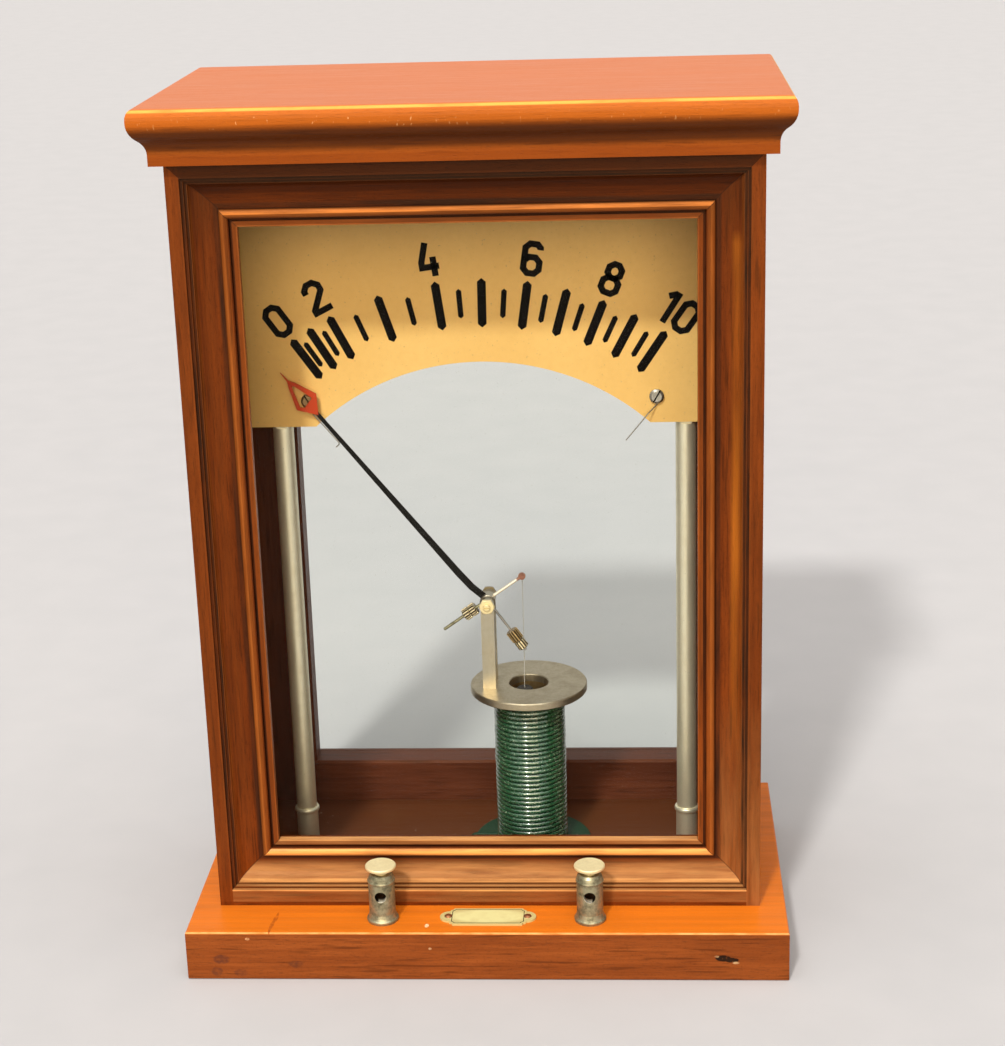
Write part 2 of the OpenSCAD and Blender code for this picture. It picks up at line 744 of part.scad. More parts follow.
module coil_top_flange() {
    color([0.72, 0.70, 0.62])
    difference() {
        flange(flange_dia, flange_z - flange_t, bore_dia);
        for (s = [-1, 1]) translate([0, pivot_y + s * fork_y, flange_z - flange_t - 1])
            cylinder(h = flange_t + 2, r = tenon_r + seat_gap);
    }
}

module coil_bottom_flange() {
    color([0.10, 0.28, 0.18])
    difference() {
        flange(foot_dia, base_h, bore_dia);
        for (p = coil_screw_places) translate([p[0], p[1], base_h - 1])
            cylinder(h = flange_t + 2, r = coil_screw_r + seat_gap);
    }
}

// Varnished winding: each turn shows as a rounded rib
module coil_winding() {
    inner = bore_dia / 2 + tube_wall;
    height = coil_h - 2 * flange_t;
    pitch = height / winding_turns;
    rib = pitch * 0.3;
    valley = winding_dia / 2 - rib * sin(60);
    color([0.06, 0.27, 0.17])
    translate([coil_x, pivot_y, base_h + flange_t]) rotate_extrude($fn = 96) polygon(concat(
        [[inner, 0]],
        [for (i = [0:winding_turns - 1], k = [0:3])
            [valley + rib * sin(k * 60), pitch * (i + 0.08 + 0.28 * k)]],
        [[inner, height]]));
}

module coil_screws() {
    color([0.65, 0.55, 0.32])
    for (p = coil_screw_places) translate([p[0], p[1], base_h + flange_t]) {
        difference() {
            rotate_extrude()
                polygon(concat([[0, 0]], arc(0, 0, coil_screw_head_r, coil_screw_head_h, 0, 90, 5)));
            translate([-coil_screw_head_r - 1, -slot_w / 2, coil_screw_head_h * 0.6])
                cube([2 * coil_screw_head_r + 2, slot_w, coil_screw_head_h]);
        }
        translate([0, 0, -flange_t - coil_screw_depth])
            cylinder(h = flange_t + coil_screw_depth + coil_screw_head_h * 0.3, r = coil_screw_r);
    }
}

// The leads: out of the winding over the lower flange, then down through the base board
module coil_leads() {
    bend = 2.6;
    r = lead_dia / 2;
    run_z = base_h + flange_t + r + 0.5;
    strap_z = pocket_h - strap_t;
    color([0.08, 0.35, 0.20])
    for (a = lead_angles) translate([coil_x, pivot_y, 0]) rotate(a) {
        translate([winding_dia / 2 + seat_gap, 0, run_z]) rotate([0, 90, 0])
            cylinder(h = lead_hole_r - bend - winding_dia / 2 - seat_gap, r = r);
        translate([lead_hole_r - bend, 0, run_z - bend]) rotate([90, 0, 0])
            rotate_extrude(angle = 90) translate([bend, 0]) circle(r = r);
        translate([lead_hole_r, 0, strap_z]) cylinder(h = run_z - bend - strap_z, r = r);
    }
}

// Square-bar post with a round top, riveted into the upper flange
module fork_post(s) {
    color([0.72, 0.70, 0.62])
    difference() {
        union() {
            translate([0, pivot_y + s * fork_y + post_t / 2, 0]) rotate([90, 0, 0])
                linear_extrude(post_t) union() {
                    translate([-post_w / 2, flange_z]) square([post_w, pivot_z - flange_z]);
                    translate([0, pivot_z]) circle(r = post_w / 2);
                }
            translate([0, pivot_y + s * fork_y, flange_z - flange_t])
                cylinder(h = flange_t + 0.5, r = tenon_r);
        }
        rod_y(0, pivot_z, bearing_dia / 2 + seat_gap, pivot_y + s * fork_y - post_t, pivot_y + s * fork_y + post_t);
    }
}

module fork_post_front() { fork_post(-1); }
module fork_post_rear() { fork_post(1); }

// Bearing screw: threaded through its post, with a cup for the axle's journal at its inner
// end and a slot at its outer end
lock_nut_t = 1.6;
lock_nut_flats = 5.8;
screw_end = 1.1;
cup_depth = 1.4;
bearing_reach = (fork_gap - hub_len) / 2 - 0.25;
module bearing_screw(s) {
    outer = fork_gap / 2 + post_t + lock_nut_t + screw_end;
    color([0.82, 0.80, 0.74])
    translate([0, pivot_y, pivot_z]) rotate([0, 0, s > 0 ? 180 : 0]) rotate([90, 0, 0])
    difference() {
        translate([0, 0, fork_gap / 2 - bearing_reach]) {
            cylinder(h = outer - 0.3 - fork_gap / 2 + bearing_reach, r = bearing_dia / 2);
            translate([0, 0, outer - 0.3 - fork_gap / 2 + bearing_reach])
                cylinder(h = 0.3, r1 = bearing_dia / 2, r2 = bearing_dia / 2 - 0.3);
        }
        translate([0, 0, fork_gap / 2 - bearing_reach - 1])
            cylinder(h = cup_depth + 1, r = journal_dia / 2 + fit_gap);
        translate([-3, -0.25, outer - 0.7]) cube([6, 0.5, 2]);
    }
}

module bearing_screw_front() { bearing_screw(-1); }
module bearing_screw_rear() { bearing_screw(1); }

module bearing_lock_nuts() {
    color([0.85, 0.80, 0.66])
    for (s = [-1, 1]) translate([0, pivot_y, pivot_z]) rotate([0, 0, s > 0 ? 180 : 0]) rotate([90, 0, 0])
        translate([0, 0, fork_gap / 2 + post_t]) difference() {
            intersection() {
                cylinder(h = lock_nut_t, r = lock_nut_flats / sqrt(3), $fn = 6);
                union() {
                    cylinder(h = lock_nut_t - 0.5, r = lock_nut_flats);
                    translate([0, 0, lock_nut_t - 0.5])
                        cylinder(h = 0.5, r1 = lock_nut_flats / sqrt(3), r2 = lock_nut_flats / 2 - 0.1);
                }
            }
            translate([0, 0, -1]) cylinder(h = lock_nut_t + 2, r = bearing_dia / 2 + seat_gap);
        }
}

// Depth at which the rods start inside the hub
rod_root = axle_dia / 2 + 0.4;

module pointer_hub() {
    rim = 0.4;
    color([0.76, 0.74, 0.66])
    difference() {
        translate([0, pivot_y - hub_len / 2, pivot_z]) rotate([-90, 0, 0]) rotate_extrude() polygon([
            [0, 0], [hub_dia / 2 - rim, 0], [hub_dia / 2, rim], [hub_dia / 2, hub_len - rim],
            [hub_dia / 2 - rim, hub_len], [0, hub_len]]);
        rod_y(0, pivot_z, axle_dia / 2 + seat_gap, pivot_y - hub_len, pivot_y + hub_len);
        about_pivot(90 - arm_angle, arm_y) translate([0, 0, rod_root])
            cylinder(h = hub_dia, r = arm_dia / 2 + seat_gap);
        about_pivot(-90 - arm_angle, arm_y) translate([0, 0, rod_root])
            cylinder(h = hub_dia, r = arm_dia / 2 + seat_gap);
        about_pivot(180 - tail_angle, tail_y) translate([0, 0, rod_root])
            cylinder(h = hub_dia, r = tail_dia / 2 + seat_gap);
        about_pivot(-rest_angle, pointer_y)
            translate([-stem_root_w / 2 - seat_gap, -pointer_t / 2 - seat_gap, rod_root])
                cube([stem_root_w + 2 * seat_gap, pointer_t + 2 * seat_gap, hub_dia]);
    }
}

module pointer_axle() {
    reach = fork_gap / 2 - bearing_reach + cup_depth - 0.3;
    color([0.60, 0.60, 0.58]) {
        rod_y(0, pivot_z, axle_dia / 2, pivot_y - hub_len / 2 - 0.15, pivot_y + hub_len / 2 + 0.15);
        rod_y(0, pivot_z, journal_dia / 2, pivot_y - reach, pivot_y + reach);
    }
}

// The stem is a flat tapering strip with a slight set near the hub, given as pairs of the
// radius and the shift to one side
stem_set = [[9, -1], [17, -1.2]];
arrow_tail_r = stop_screw_r - 6.3;
arrow_shoulder_r = arrow_tail_r + 0.3 * (pointer_len - arrow_tail_r);
module pointer_stem() {
    half_root = stem_root_w / 2;
    half_tip = stem_tip_w / 2;
    color([0.05, 0.05, 0.05])
    about_pivot(-rest_angle, pointer_y) translate([0, pointer_t / 2, 0]) rotate([90, 0, 0])
        linear_extrude(pointer_t) polygon([
            [-half_root, rod_root], [half_root, rod_root], [half_root, hub_dia / 2],
            [stem_set[0][1] + half_root, stem_set[0][0]], [stem_set[1][1] + half_root, stem_set[1][0]],
            [half_tip, arrow_tail_r + 0.6], [0, arrow_tail_r - 0.4], [-half_tip, arrow_tail_r + 0.6],
            [stem_set[1][1] - half_root, stem_set[1][0]], [stem_set[0][1] - half_root, stem_set[0][0]],
            [-half_root, hub_dia / 2]]);
}

// Open kite-shaped arrow head with hollow flanks and a needle tip
module pointer_arrow() {
    half = arrow_w / 2;
    mid_r = (pointer_len + arrow_shoulder_r) / 2;
    outer = [[0, arrow_tail_r - 0.4], [stem_tip_w / 2, arrow_tail_r + 0.6], [half, arrow_shoulder_r],
             [half * 0.32, mid_r + 1], [0.35, pointer_len - 4.5], [0.12, pointer_len],
             [-0.12, pointer_len], [-0.35, pointer_len - 4.5], [-half * 0.32, mid_r + 1],
             [-half, arrow_shoulder_r], [-stem_tip_w / 2, arrow_tail_r + 0.6]];
    window = [[half * 0.52, arrow_shoulder_r - 0.2], [0.5, mid_r + 0.4], [-0.5, mid_r + 0.4],
              [-half * 0.66, arrow_shoulder_r + 0.1], [-half * 0.45, arrow_shoulder_r - 1.4]];
    color([0.72, 0.17, 0.08])
    about_pivot(-rest_angle, pointer_y) translate([0, pointer_t / 2, 0]) rotate([90, 0, 0])
        linear_extrude(pointer_t) difference() {
            polygon(outer);
            polygon(window);
        }
}

eye_r = 1.5;
eye_t = 1.1;
eye_hole_r = 0.6;
module lifting_arm() {
    color([0.85, 0.84, 0.80])
    difference() {
        union() {
            about_pivot(90 - arm_angle, arm_y) translate([0, 0, rod_root])
                cylinder(h = arm_len - rod_root, r = arm_dia / 2);
            rod_y(eye_x, eye_z, eye_r, arm_y - eye_t / 2, arm_y + eye_t / 2);
        }
        rod_y(eye_x, eye_z, eye_hole_r, arm_y - 2, arm_y + 2);
    }
}

module balance_rod() {
    easing = 0.25;
    color([0.66, 0.64, 0.58])
    about_pivot(-90 - arm_angle, arm_y) {
        translate([0, 0, rod_root]) cylinder(h = balance_rod_len - easing - rod_root, r = arm_dia / 2);
        translate([0, 0, balance_rod_len - easing])
            cylinder(h = easing, r1 = arm_dia / 2, r2 = arm_dia / 2 - easing);
    }
}

// Knurled round nut on a rod, its ends eased, with its middle at a distance along the rod
module round_nut(dia, length, place, hole_r) {
    rim = 0.35;
    translate([0, 0, place - length / 2]) rotate_extrude() polygon([
        [hole_r, 0], [dia / 2 - rim, 0], [dia / 2, rim], [dia / 2, length - rim],
        [dia / 2 - rim, length], [hole_r, length]]);
}

nut_gap = 0.3;
module balance_nut_inner() {
    color([0.80, 0.76, 0.62])
    about_pivot(-90 - arm_angle, arm_y) round_nut(nut_dia, nut_t, nut_place, arm_dia / 2 + fit_gap);
}

module balance_nut_outer() {
    color([0.80, 0.76, 0.62])
    about_pivot(-90 - arm_angle, arm_y)
        round_nut(nut_dia, nut_t, nut_place + nut_t + nut_gap, arm_dia / 2 + fit_gap);
}

module tail_rod() {
    color([0.55, 0.52, 0.46])
    about_pivot(180 - tail_angle, tail_y) translate([0, 0, rod_root])
        cylinder(h = tail_len - rod_root, r = tail_dia / 2);
}

module tail_weight() {
    color([0.55, 0.42, 0.22])
    about_pivot(180 - tail_angle, tail_y)
        round_nut(weight_dia, weight_len, weight_place, tail_dia / 2 + fit_gap);
}

module tail_lock_nut() {
    place = weight_place + weight_len / 2 + nut_gap + lock_len / 2;
    color([0.85, 0.78, 0.58])
    about_pivot(180 - tail_angle, tail_y) difference() {
        round_nut(lock_dia, lock_len, place, tail_dia / 2 + fit_gap);
        translate([-3, -0.25, place + lock_len / 2 - 0.9]) cube([6, 0.5, 2]);
    }
}

// Suspension: a pin through the eye, and a fine wire that cranks over the bore's axis
wire_bend_drop = 28;
wire_bend_z = pivot_z - wire_bend_drop;
module suspension_wire() {
    pin_r = eye_hole_r - fit_gap;
    back = arm_y + eye_drop_y;
    color([0.45, 0.42, 0.38]) {
        rod_y(eye_x, eye_z, pin_r, arm_y - eye_t / 2 - 0.4, back + pin_r * 0.6);
        rod_y(eye_x, eye_z, eye_hole_r + 0.3, arm_y - eye_t / 2 - 0.8, arm_y - eye_t / 2 - 0.35);
        wire([[eye_x, back, eye_z], [eye_x, back, wire_bend_z], [eye_x, pivot_y, wire_bend_z - 4],
              [eye_x, pivot_y, core_top_z - 1.5]], wire_dia / 2);
    }
}

module iron_core() {
    cap = 1.2;
    color([0.42, 0.42, 0.43])
    translate([eye_x, pivot_y, core_top_z - core_len])
    difference() {
        rotate_extrude() polygon([
            [0, 0], [core_dia / 2 - 0.4, 0], [core_dia / 2, 0.4], [core_dia / 2, core_len - 0.6],
            [core_dia / 2 - 0.6, core_len], [0, core_len]]);
        translate([0, 0, -1]) cylinder(h = core_len - cap + 1, r = core_dia / 2 - core_wall);
        translate([0, 0, core_len - cap - 1]) cylinder(h = cap + 2, r = wire_dia / 2 + seat_gap);
    }
}

// Binding post: round foot, flared body, rounded collar, wire hole and threaded stud
terminal_foot_h = 2.4;
collar_h = 3;
collar_out = 0.35;
module terminal(s) {
    x = s * terminal_x;
    y = front_y + terminal_y;
    r = terminal_dia / 2;
    color([0.60, 0.58, 0.48])
    difference() {
        union() {
            translate([x, y, base_h]) rotate_extrude() polygon(concat(
                [[0, 0], [terminal_foot_dia / 2 - 0.2, 0]],
                arc(terminal_foot_dia / 2 - 0.9, 0.9, 0.9, 0.9, -30, 60, 4),
                [[r + 0.35, terminal_foot_h], [r, terminal_foot_h + 1.4],
                 [r, terminal_h - collar_h - 0.7]],
                arc(r - 0.1, terminal_h - collar_h, collar_out + 0.1, 0.7, -90, 90, 4),
                [[r - 0.05, terminal_h - collar_h + 0.9], [r - 0.3, terminal_h - 1],
                 [r - 1, terminal_h], [0, terminal_h]]));
            translate([x, y, pocket_h - strap_t - washer_t - nut_h - 0.7])
                cylinder(h = base_h - pocket_h + strap_t + washer_t + nut_h + 1.2, r = stud_dia / 2);
        }
        translate([x, y, base_h + wire_hole_h])
            cylinder(h = terminal_h, r = thumb_shank_dia / 2 + fit_gap);
        rod_y(x, base_h + wire_hole_h, wire_hole_dia / 2, y - terminal_dia, y + terminal_dia);
    }
}

module terminal_left() { terminal(-1); }
module terminal_right() { terminal(1); }

thumb_gap = 2;
thumb_tip_gap = 0.5;
module thumbscrew(s) {
    head_z = base_h + terminal_h + thumb_gap;
    tip_z = base_h + wire_hole_h + wire_hole_dia / 2 + thumb_tip_gap;
    color([0.80, 0.77, 0.62])
    translate([s * terminal_x, front_y + terminal_y, 0]) {
        translate([0, 0, tip_z]) cylinder(h = head_z - tip_z + 0.3, r = thumb_shank_dia / 2);
        translate([0, 0, head_z]) rotate_extrude() polygon([
            [0, 0], [thumb_dia / 2 - 0.9, 0], [thumb_dia / 2 - 0.1, 0.5], [thumb_dia / 2, 0.9],
            [thumb_dia / 2, thumb_t - 0.3], [thumb_dia / 2 - 0.3, thumb_t], [0, thumb_t]]);
    }
}

module thumbscrew_left() { thumbscrew(-1); }
module thumbscrew_right() { thumbscrew(1); }

module connection_straps() {
    color([0.72, 0.45, 0.25])
    for (i = [0, 1]) translate([0, 0, pocket_h - strap_t]) linear_extrude(strap_t)
        difference() {
            union() {
                run(terminal_places[i], lead_places[i], strap_w);
                translate(terminal_places[i]) circle(r = washer_dia / 2);
                translate(lead_places[i]) circle(r = strap_w / 2 + 0.4);
            }
            translate(terminal_places[i]) circle(r = stud_dia / 2 + seat_gap);
            translate(lead_places[i]) circle(r = lead_dia / 2 + seat_gap);
        }
}

module terminal_washers() {
    color([0.75, 0.70, 0.50])
    for (p = terminal_places) translate([p[0], p[1], pocket_h - strap_t - washer_t]) difference() {
        cylinder(h = washer_t, r = washer_dia / 2);
        translate([0, 0, -1]) cylinder(h = washer_t + 2, r = stud_dia / 2 + seat_gap);
    }
}

module terminal_nuts() {
    color([0.75, 0.68, 0.45])
    for (p = terminal_places) translate([p[0], p[1], pocket_h - strap_t - washer_t - nut_h]) difference() {
        cylinder(h = nut_h, r = nut_flats / sqrt(3), $fn = 6);
        translate([0, 0, -1]) cylinder(h = nut_h + 2, r = stud_dia / 2 + seat_gap);
    }
}

// Unit plate with rounded ears and hollowed corners, pinned flat on the ledge
unit_plate_x = 0.6;
unit_plate_y = front_y + 12.4;
unit_plate_t = 0.8;
unit_pin_r = 0.8;
unit_pin_depth = 4.5;
unit_ear_r = 4;
unit_corner_r = 1.4;
unit_pin_x = unit_plate_w / 2 - unit_ear_r + 0.6;
module unit_plate() {
    body_w = unit_plate_w - 2 * unit_ear_r;
    color([0.86, 0.80, 0.52])
    translate([unit_plate_x, unit_plate_y, base_h]) linear_extrude(unit_plate_t) difference() {
        union() {
            square([body_w, unit_plate_d], center = true);
            for (s = [-1, 1]) translate([s * body_w / 2, 0]) circle(r = unit_ear_r);
        }
        for (s = [-1, 1], t = [-1, 1])
            translate([s * body_w / 2, t * unit_plate_d / 2]) circle(r = unit_corner_r);
        for (s = [-1, 1]) translate([s * unit_pin_x, 0]) circle(r = unit_pin_r + seat_gap);
    }
}

module unit_plate_pins() {
    color([0.45, 0.33, 0.22])
    for (s = [-1, 1]) translate([unit_plate_x + s * unit_pin_x, unit_plate_y, 0]) {
        translate([0, 0, base_h - unit_pin_depth])
            cylinder(h = unit_pin_depth + unit_plate_t + unit_pin_r / 4, r = unit_pin_r);
        translate([0, 0, base_h + unit_plate_t]) rotate_extrude()
            polygon(concat([[0, 0]], arc(0, 0, unit_pin_r * 2, unit_pin_r, 0, 90, 4)));
    }
}

base_board();
side_panel_left();
side_panel_right();
cornice_board();
front_stile_left();
front_stile_right();
front_rail_top();
front_rail_bottom();
front_glass();
front_glazing_beads();
rear_stile_left();
rear_stile_right();
rear_rail_top();
rear_rail_bottom();
rear_glass();
rear_glazing_beads();
case_screws();
dial_plate();
dial_screws();
column_left();
column_right();
column_foot_left();
column_foot_right();
column_screws();
stop_screws();
stop_wire_left();
stop_wire_right();
coil_tube();
coil_top_flange();
coil_bottom_flange();
coil_winding();
coil_screws();
coil_leads();
fork_post_front();
fork_post_rear();
bearing_screw_front();
bearing_screw_rear();
bearing_lock_nuts();
pointer_hub();
pointer_axle();
pointer_stem();
pointer_arrow();
lifting_arm();
balance_rod();
balance_nut_inner();
balance_nut_outer();
tail_rod();
tail_weight();
tail_lock_nut();
suspension_wire();
iron_core();
terminal_left();
terminal_right();
thumbscrew_left();
thumbscrew_right();
terminal_nuts();
terminal_washers();
connection_straps();
unit_plate();
unit_plate_pins();
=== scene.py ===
"""Demonstration ammeter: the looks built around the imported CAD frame, in metres."""

import json
import math

import bmesh
import bpy
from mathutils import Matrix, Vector


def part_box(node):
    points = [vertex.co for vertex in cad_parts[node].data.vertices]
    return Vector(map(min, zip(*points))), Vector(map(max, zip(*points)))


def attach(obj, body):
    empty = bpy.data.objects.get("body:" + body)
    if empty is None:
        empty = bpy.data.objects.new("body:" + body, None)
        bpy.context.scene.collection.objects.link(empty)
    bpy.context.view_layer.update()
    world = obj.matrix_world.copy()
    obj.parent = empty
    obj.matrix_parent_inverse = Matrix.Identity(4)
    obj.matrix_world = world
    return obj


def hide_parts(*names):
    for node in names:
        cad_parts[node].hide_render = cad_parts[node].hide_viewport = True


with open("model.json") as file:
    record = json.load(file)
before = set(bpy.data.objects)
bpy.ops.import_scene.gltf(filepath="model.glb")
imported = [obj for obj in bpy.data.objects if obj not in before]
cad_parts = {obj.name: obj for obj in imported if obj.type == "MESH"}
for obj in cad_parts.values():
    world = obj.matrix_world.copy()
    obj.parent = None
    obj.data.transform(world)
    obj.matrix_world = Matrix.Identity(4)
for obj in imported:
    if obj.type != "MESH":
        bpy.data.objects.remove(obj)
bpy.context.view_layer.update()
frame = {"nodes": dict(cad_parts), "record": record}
nodes = frame["nodes"]
MM = 0.001


def centre_of(node):
    """The middle of a CAD node's box."""
    return sum(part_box(node), Vector()) / 2


# Material graphs

# The share of a spot's size within which it has its full strength
SPOT_CORE = 0.75


class Graph:
    """The node tree of a new material, or of a given world, with short calls for the nodes used here."""

    def __init__(self, name, world=None):
        self.owner = world or bpy.data.materials.new(name)
        self.owner.use_nodes = True
        self.tree = self.owner.node_tree
        self.tree.nodes.clear()

    def node(self, kind, inputs=None, **settings):
        """Adds a node. Each input is a plain value or another node's output socket."""
        made = self.tree.nodes.new(kind)
        for key, value in settings.items():
            setattr(made, key, value)
        for key, value in (inputs or {}).items():
            if isinstance(value, bpy.types.NodeSocket):
                self.tree.links.new(value, made.inputs[key])
            else:
                made.inputs[key].default_value = value
        return made

    def place(self, scale=(1, 1, 1)):
        """The part's own coordinates in metres, times a scale."""
        coordinates = self.node("ShaderNodeTexCoord").outputs["Object"]
        mapping = self.node("ShaderNodeMapping", {"Vector": coordinates})
        mapping.inputs["Scale"].default_value = scale
        return mapping.outputs["Vector"]

    def noise(self, scale, detail=2.0, roughness=0.5, distortion=0.0):
        """Noise with a number of features per metre along X, Y and Z."""
        inputs = {"Vector": self.place(scale), "Scale": 1.0, "Detail": detail,
                  "Roughness": roughness, "Distortion": distortion}
        return self.node("ShaderNodeTexNoise", inputs).outputs[0]

    def math(self, operation, a, b=0.0, clamp=False):
        """Arithmetic on numbers, held between 0 and 1 if clamp is set."""
        made = self.node("ShaderNodeMath", {0: a, 1: b}, operation=operation)
        made.use_clamp = clamp
        return made.outputs[0]

    def times(self, *values):
        """The product of two or more numbers."""
        product = values[0]
        for value in values[1:]:
            product = self.math("MULTIPLY", product, value)
        return product

    def vector(self, operation, a, b=(0, 0, 0)):
        """Arithmetic on vectors. LENGTH and DOT_PRODUCT give a number, the rest a vector."""
        made = self.node("ShaderNodeVectorMath", {0: a, 1: b}, operation=operation)
        return made.outputs["Value" if operation in ("LENGTH", "DOT_PRODUCT") else "Vector"]

    def span(self, value, low, high, to_low=0.0, to_high=1.0):
        """Maps low..high onto to_low..to_high and holds it there beyond the ends."""
        inputs = {"Value": value, "From Min": low, "From Max": high, "To Min": to_low, "To Max": to_high}
        return self.node("ShaderNodeMapRange", inputs).outputs["Result"]

    def ramp(self, value, stops):
        """A colour for each place on a 0 to 1 scale, blended in between."""
        made = self.node("ShaderNodeValToRGB", {"Fac": value})
        elements = made.color_ramp.elements
        while len(elements) < len(stops):
            elements.new(0.5)
        for element, (place, colour) in zip(elements, stops):
            element.position = place
            element.color = (*colour, 1)
        return made.outputs["Color"]

    def mix(self, factor, a, b):
        """Colour a, turned into colour b as the factor goes from 0 to 1."""
        made = self.node("ShaderNodeMix", data_type="RGBA")
        for index, value in ((0, factor), (6, a), (7, b)):
            if isinstance(value, bpy.types.NodeSocket):
                self.tree.links.new(value, made.inputs[index])
            elif index == 0:
                made.inputs[index].default_value = value
            else:
                made.inputs[index].default_value = (*value, 1)
        return made.outputs[2]

    def bump(self, height, distance, strength):
        """A normal for fine relief, its full height given in metres."""
        inputs = {"Height": height, "Distance": distance, "Strength": strength}
        return self.node("ShaderNodeBump", inputs).outputs["Normal"]

    def spot(self, centre, size):
        """1 inside an ellipsoid with these half axes, falling to 0 at its skin."""
        moved = self.vector("SUBTRACT", self.place(), centre)
        scaled = self.vector("MULTIPLY", moved, [1 / s for s in size])
        return self.span(self.vector("LENGTH", scaled), SPOT_CORE, 1.0, 1.0, 0.0)

    def coordinate(self, axis):
        """One of the part's own coordinates, in metres."""
        parts = self.node("ShaderNodeSeparateXYZ", {0: self.place()})
        return parts.outputs["XYZ".index(axis)]

    def band(self, value, low, high, soft):
        """1 between low and high, falling to 0 over a soft edge on either side."""
        rise = self.span(value, low - soft, low)
        fall = self.span(value, high, high + soft, 1.0, 0.0)
        return self.times(rise, fall)

    def block(self, low, high, soft):
        """1 inside a box, falling to 0 over a soft edge."""
        mask = 1.0
        for axis, start, end in zip("XYZ", low, high):
            mask = self.times(self.band(self.coordinate(axis), start, end, soft), mask)
        return mask

    def tint(self, colour, mask, strength, shade):
        """The colour, mixed towards a shade where the mask is."""
        return self.mix(self.times(mask, strength), colour, shade)

    def shown(self):
        """1 on rays from the camera, mirrors and glass, which see a backdrop at its own colour."""
        path = self.node("ShaderNodeLightPath").outputs
        through = self.math("MAXIMUM", path["Is Glossy Ray"], path["Is Transmission Ray"])
        return self.math("MAXIMUM", path["Is Camera Ray"], through)

    def surface(self, inputs):
        """Ends the graph in a Principled shader."""
        shader = self.node("ShaderNodeBsdfPrincipled", inputs)
        self.node("ShaderNodeOutputMaterial", {"Surface": shader.outputs[0]})
        return self.owner


def grain_scale(grain, along, across):
    """Feature counts per metre for wood whose grain runs along one axis."""
    return tuple(along if axis == grain else across for axis in "xyz")


def wood(name, grain, light, dark, marks=(), worn=None, coat=0.06):
    """French-polished mahogany: ribbon figure, fine streaks, open pores and a soft gloss."""
    g = Graph(name)
    figure = g.noise(grain_scale(grain, 6, 60), detail=3, distortion=0.5)
    streak = g.noise(grain_scale(grain, 30, 620), detail=5, roughness=0.65)
    pore = g.noise(grain_scale(grain, 260, 3000), detail=1)
    vein = g.noise(grain_scale(grain, 45, 900), detail=2)
    fleck = g.noise((1100, 1100, 1100), detail=2)
    cloud = g.noise((14, 14, 14), detail=2)
    blend = g.math("ADD", g.times(figure, 0.5), g.times(streak, 0.5))
    tone = g.span(blend, 0.34, 0.66)
    middle = tuple((a * b) ** 0.5 for a, b in zip(light, dark))
    colour = g.ramp(tone, [(0.0, dark), (0.5, middle), (1.0, light)])
    colour = g.tint(colour, g.span(cloud, 0.4, 0.7), 0.25, tuple(0.6 * c for c in middle))
    pores = g.span(pore, 0.60, 0.72)
    colour = g.tint(colour, pores, 0.40, tuple(0.35 * c for c in dark))
    colour = g.tint(colour, g.span(vein, 0.58, 0.68), 0.60, tuple(0.45 * c for c in dark))
    colour = g.tint(colour, g.span(fleck, 0.55, 0.75), 0.30, tuple(0.55 * c for c in dark))
    # The hook named worn adds the piece's wear and its painted light and shade.
    if worn:
        colour = worn(g, colour)
    for centre, size, shade, strength in marks:
        ragged = g.span(g.noise((700, 700, 700), detail=3), 0.35, 0.60, 0.35, 1.0)
        colour = g.tint(colour, g.times(g.spot(centre, size), ragged), strength, shade)
    relief = g.math("SUBTRACT", g.times(streak, 0.5), pores)
    return g.surface({
        "Base Color": colour,
        "Roughness": g.span(streak, 0.3, 0.7, 0.36, 0.52),
        "Specular IOR Level": 0.20,
        "Specular Tint": (1.0, 0.55, 0.28, 1),
        "Coat Weight": coat,
        "Coat Roughness": 0.18,
        "Normal": g.bump(relief, 0.00012, 0.5),
    })


def metal(name, colour, stain, roughness, grain=(900, 900, 900), stained=0.35, metallic=1.0, aged=None,
          clouding=140):
    """Plated or bare metal with fine rubbing marks, cloudy tarnish and its own aged places, and painted
    shade and highlights where the hook named aged adds them.
    """
    g = Graph(name)
    cloud = g.noise((clouding, clouding, clouding), detail=4, roughness=0.6)
    rub = g.noise(grain, detail=2)
    tarnish = g.span(cloud, 0.42, 0.68, 0.0, stained)
    base = g.mix(tarnish, colour, stain)
    base = g.mix(g.span(rub, 0.35, 0.7, 0.0, 0.25), base, tuple(0.72 * c for c in colour))
    if aged:
        base = aged(g, base)
    rough = g.math("ADD", g.span(rub, 0.3, 0.7, roughness - 0.05, roughness + 0.07),
                   g.times(tarnish, 0.3))
    return g.surface({
        "Base Color": base,
        "Metallic": metallic,
        "Roughness": rough,
        "Normal": g.bump(rub, 0.00002, 0.35),
    })


def paint(name, colour, worn_colour, roughness, specks=0.15, coat=0.0, gloss=0.5):
    """Paint or varnish with faint clouding and worn specks."""
    g = Graph(name)
    cloud = g.noise((220, 220, 220), detail=4)
    speck = g.noise((2600, 2600, 2600), detail=1)
    base = g.mix(g.span(cloud, 0.35, 0.7, 0.0, 0.3), colour, tuple(0.7 * c for c in colour))
    base = g.mix(g.span(speck, 0.66, 0.74, 0.0, specks), base, worn_colour)
    return g.surface({
        "Base Color": base,
        "Roughness": g.span(cloud, 0.3, 0.7, roughness - 0.05, roughness + 0.06),
        "Specular IOR Level": gloss,
        "Coat Weight": coat,
        "Coat Roughness": 0.1,
        "Normal": g.bump(cloud, 0.00003, 0.4),
    })


# A pane's mirror share when seen straight on, and what a grazing slant adds
MIRROR_STRAIGHT = 0.002
MIRROR_SLANTED = 0.80


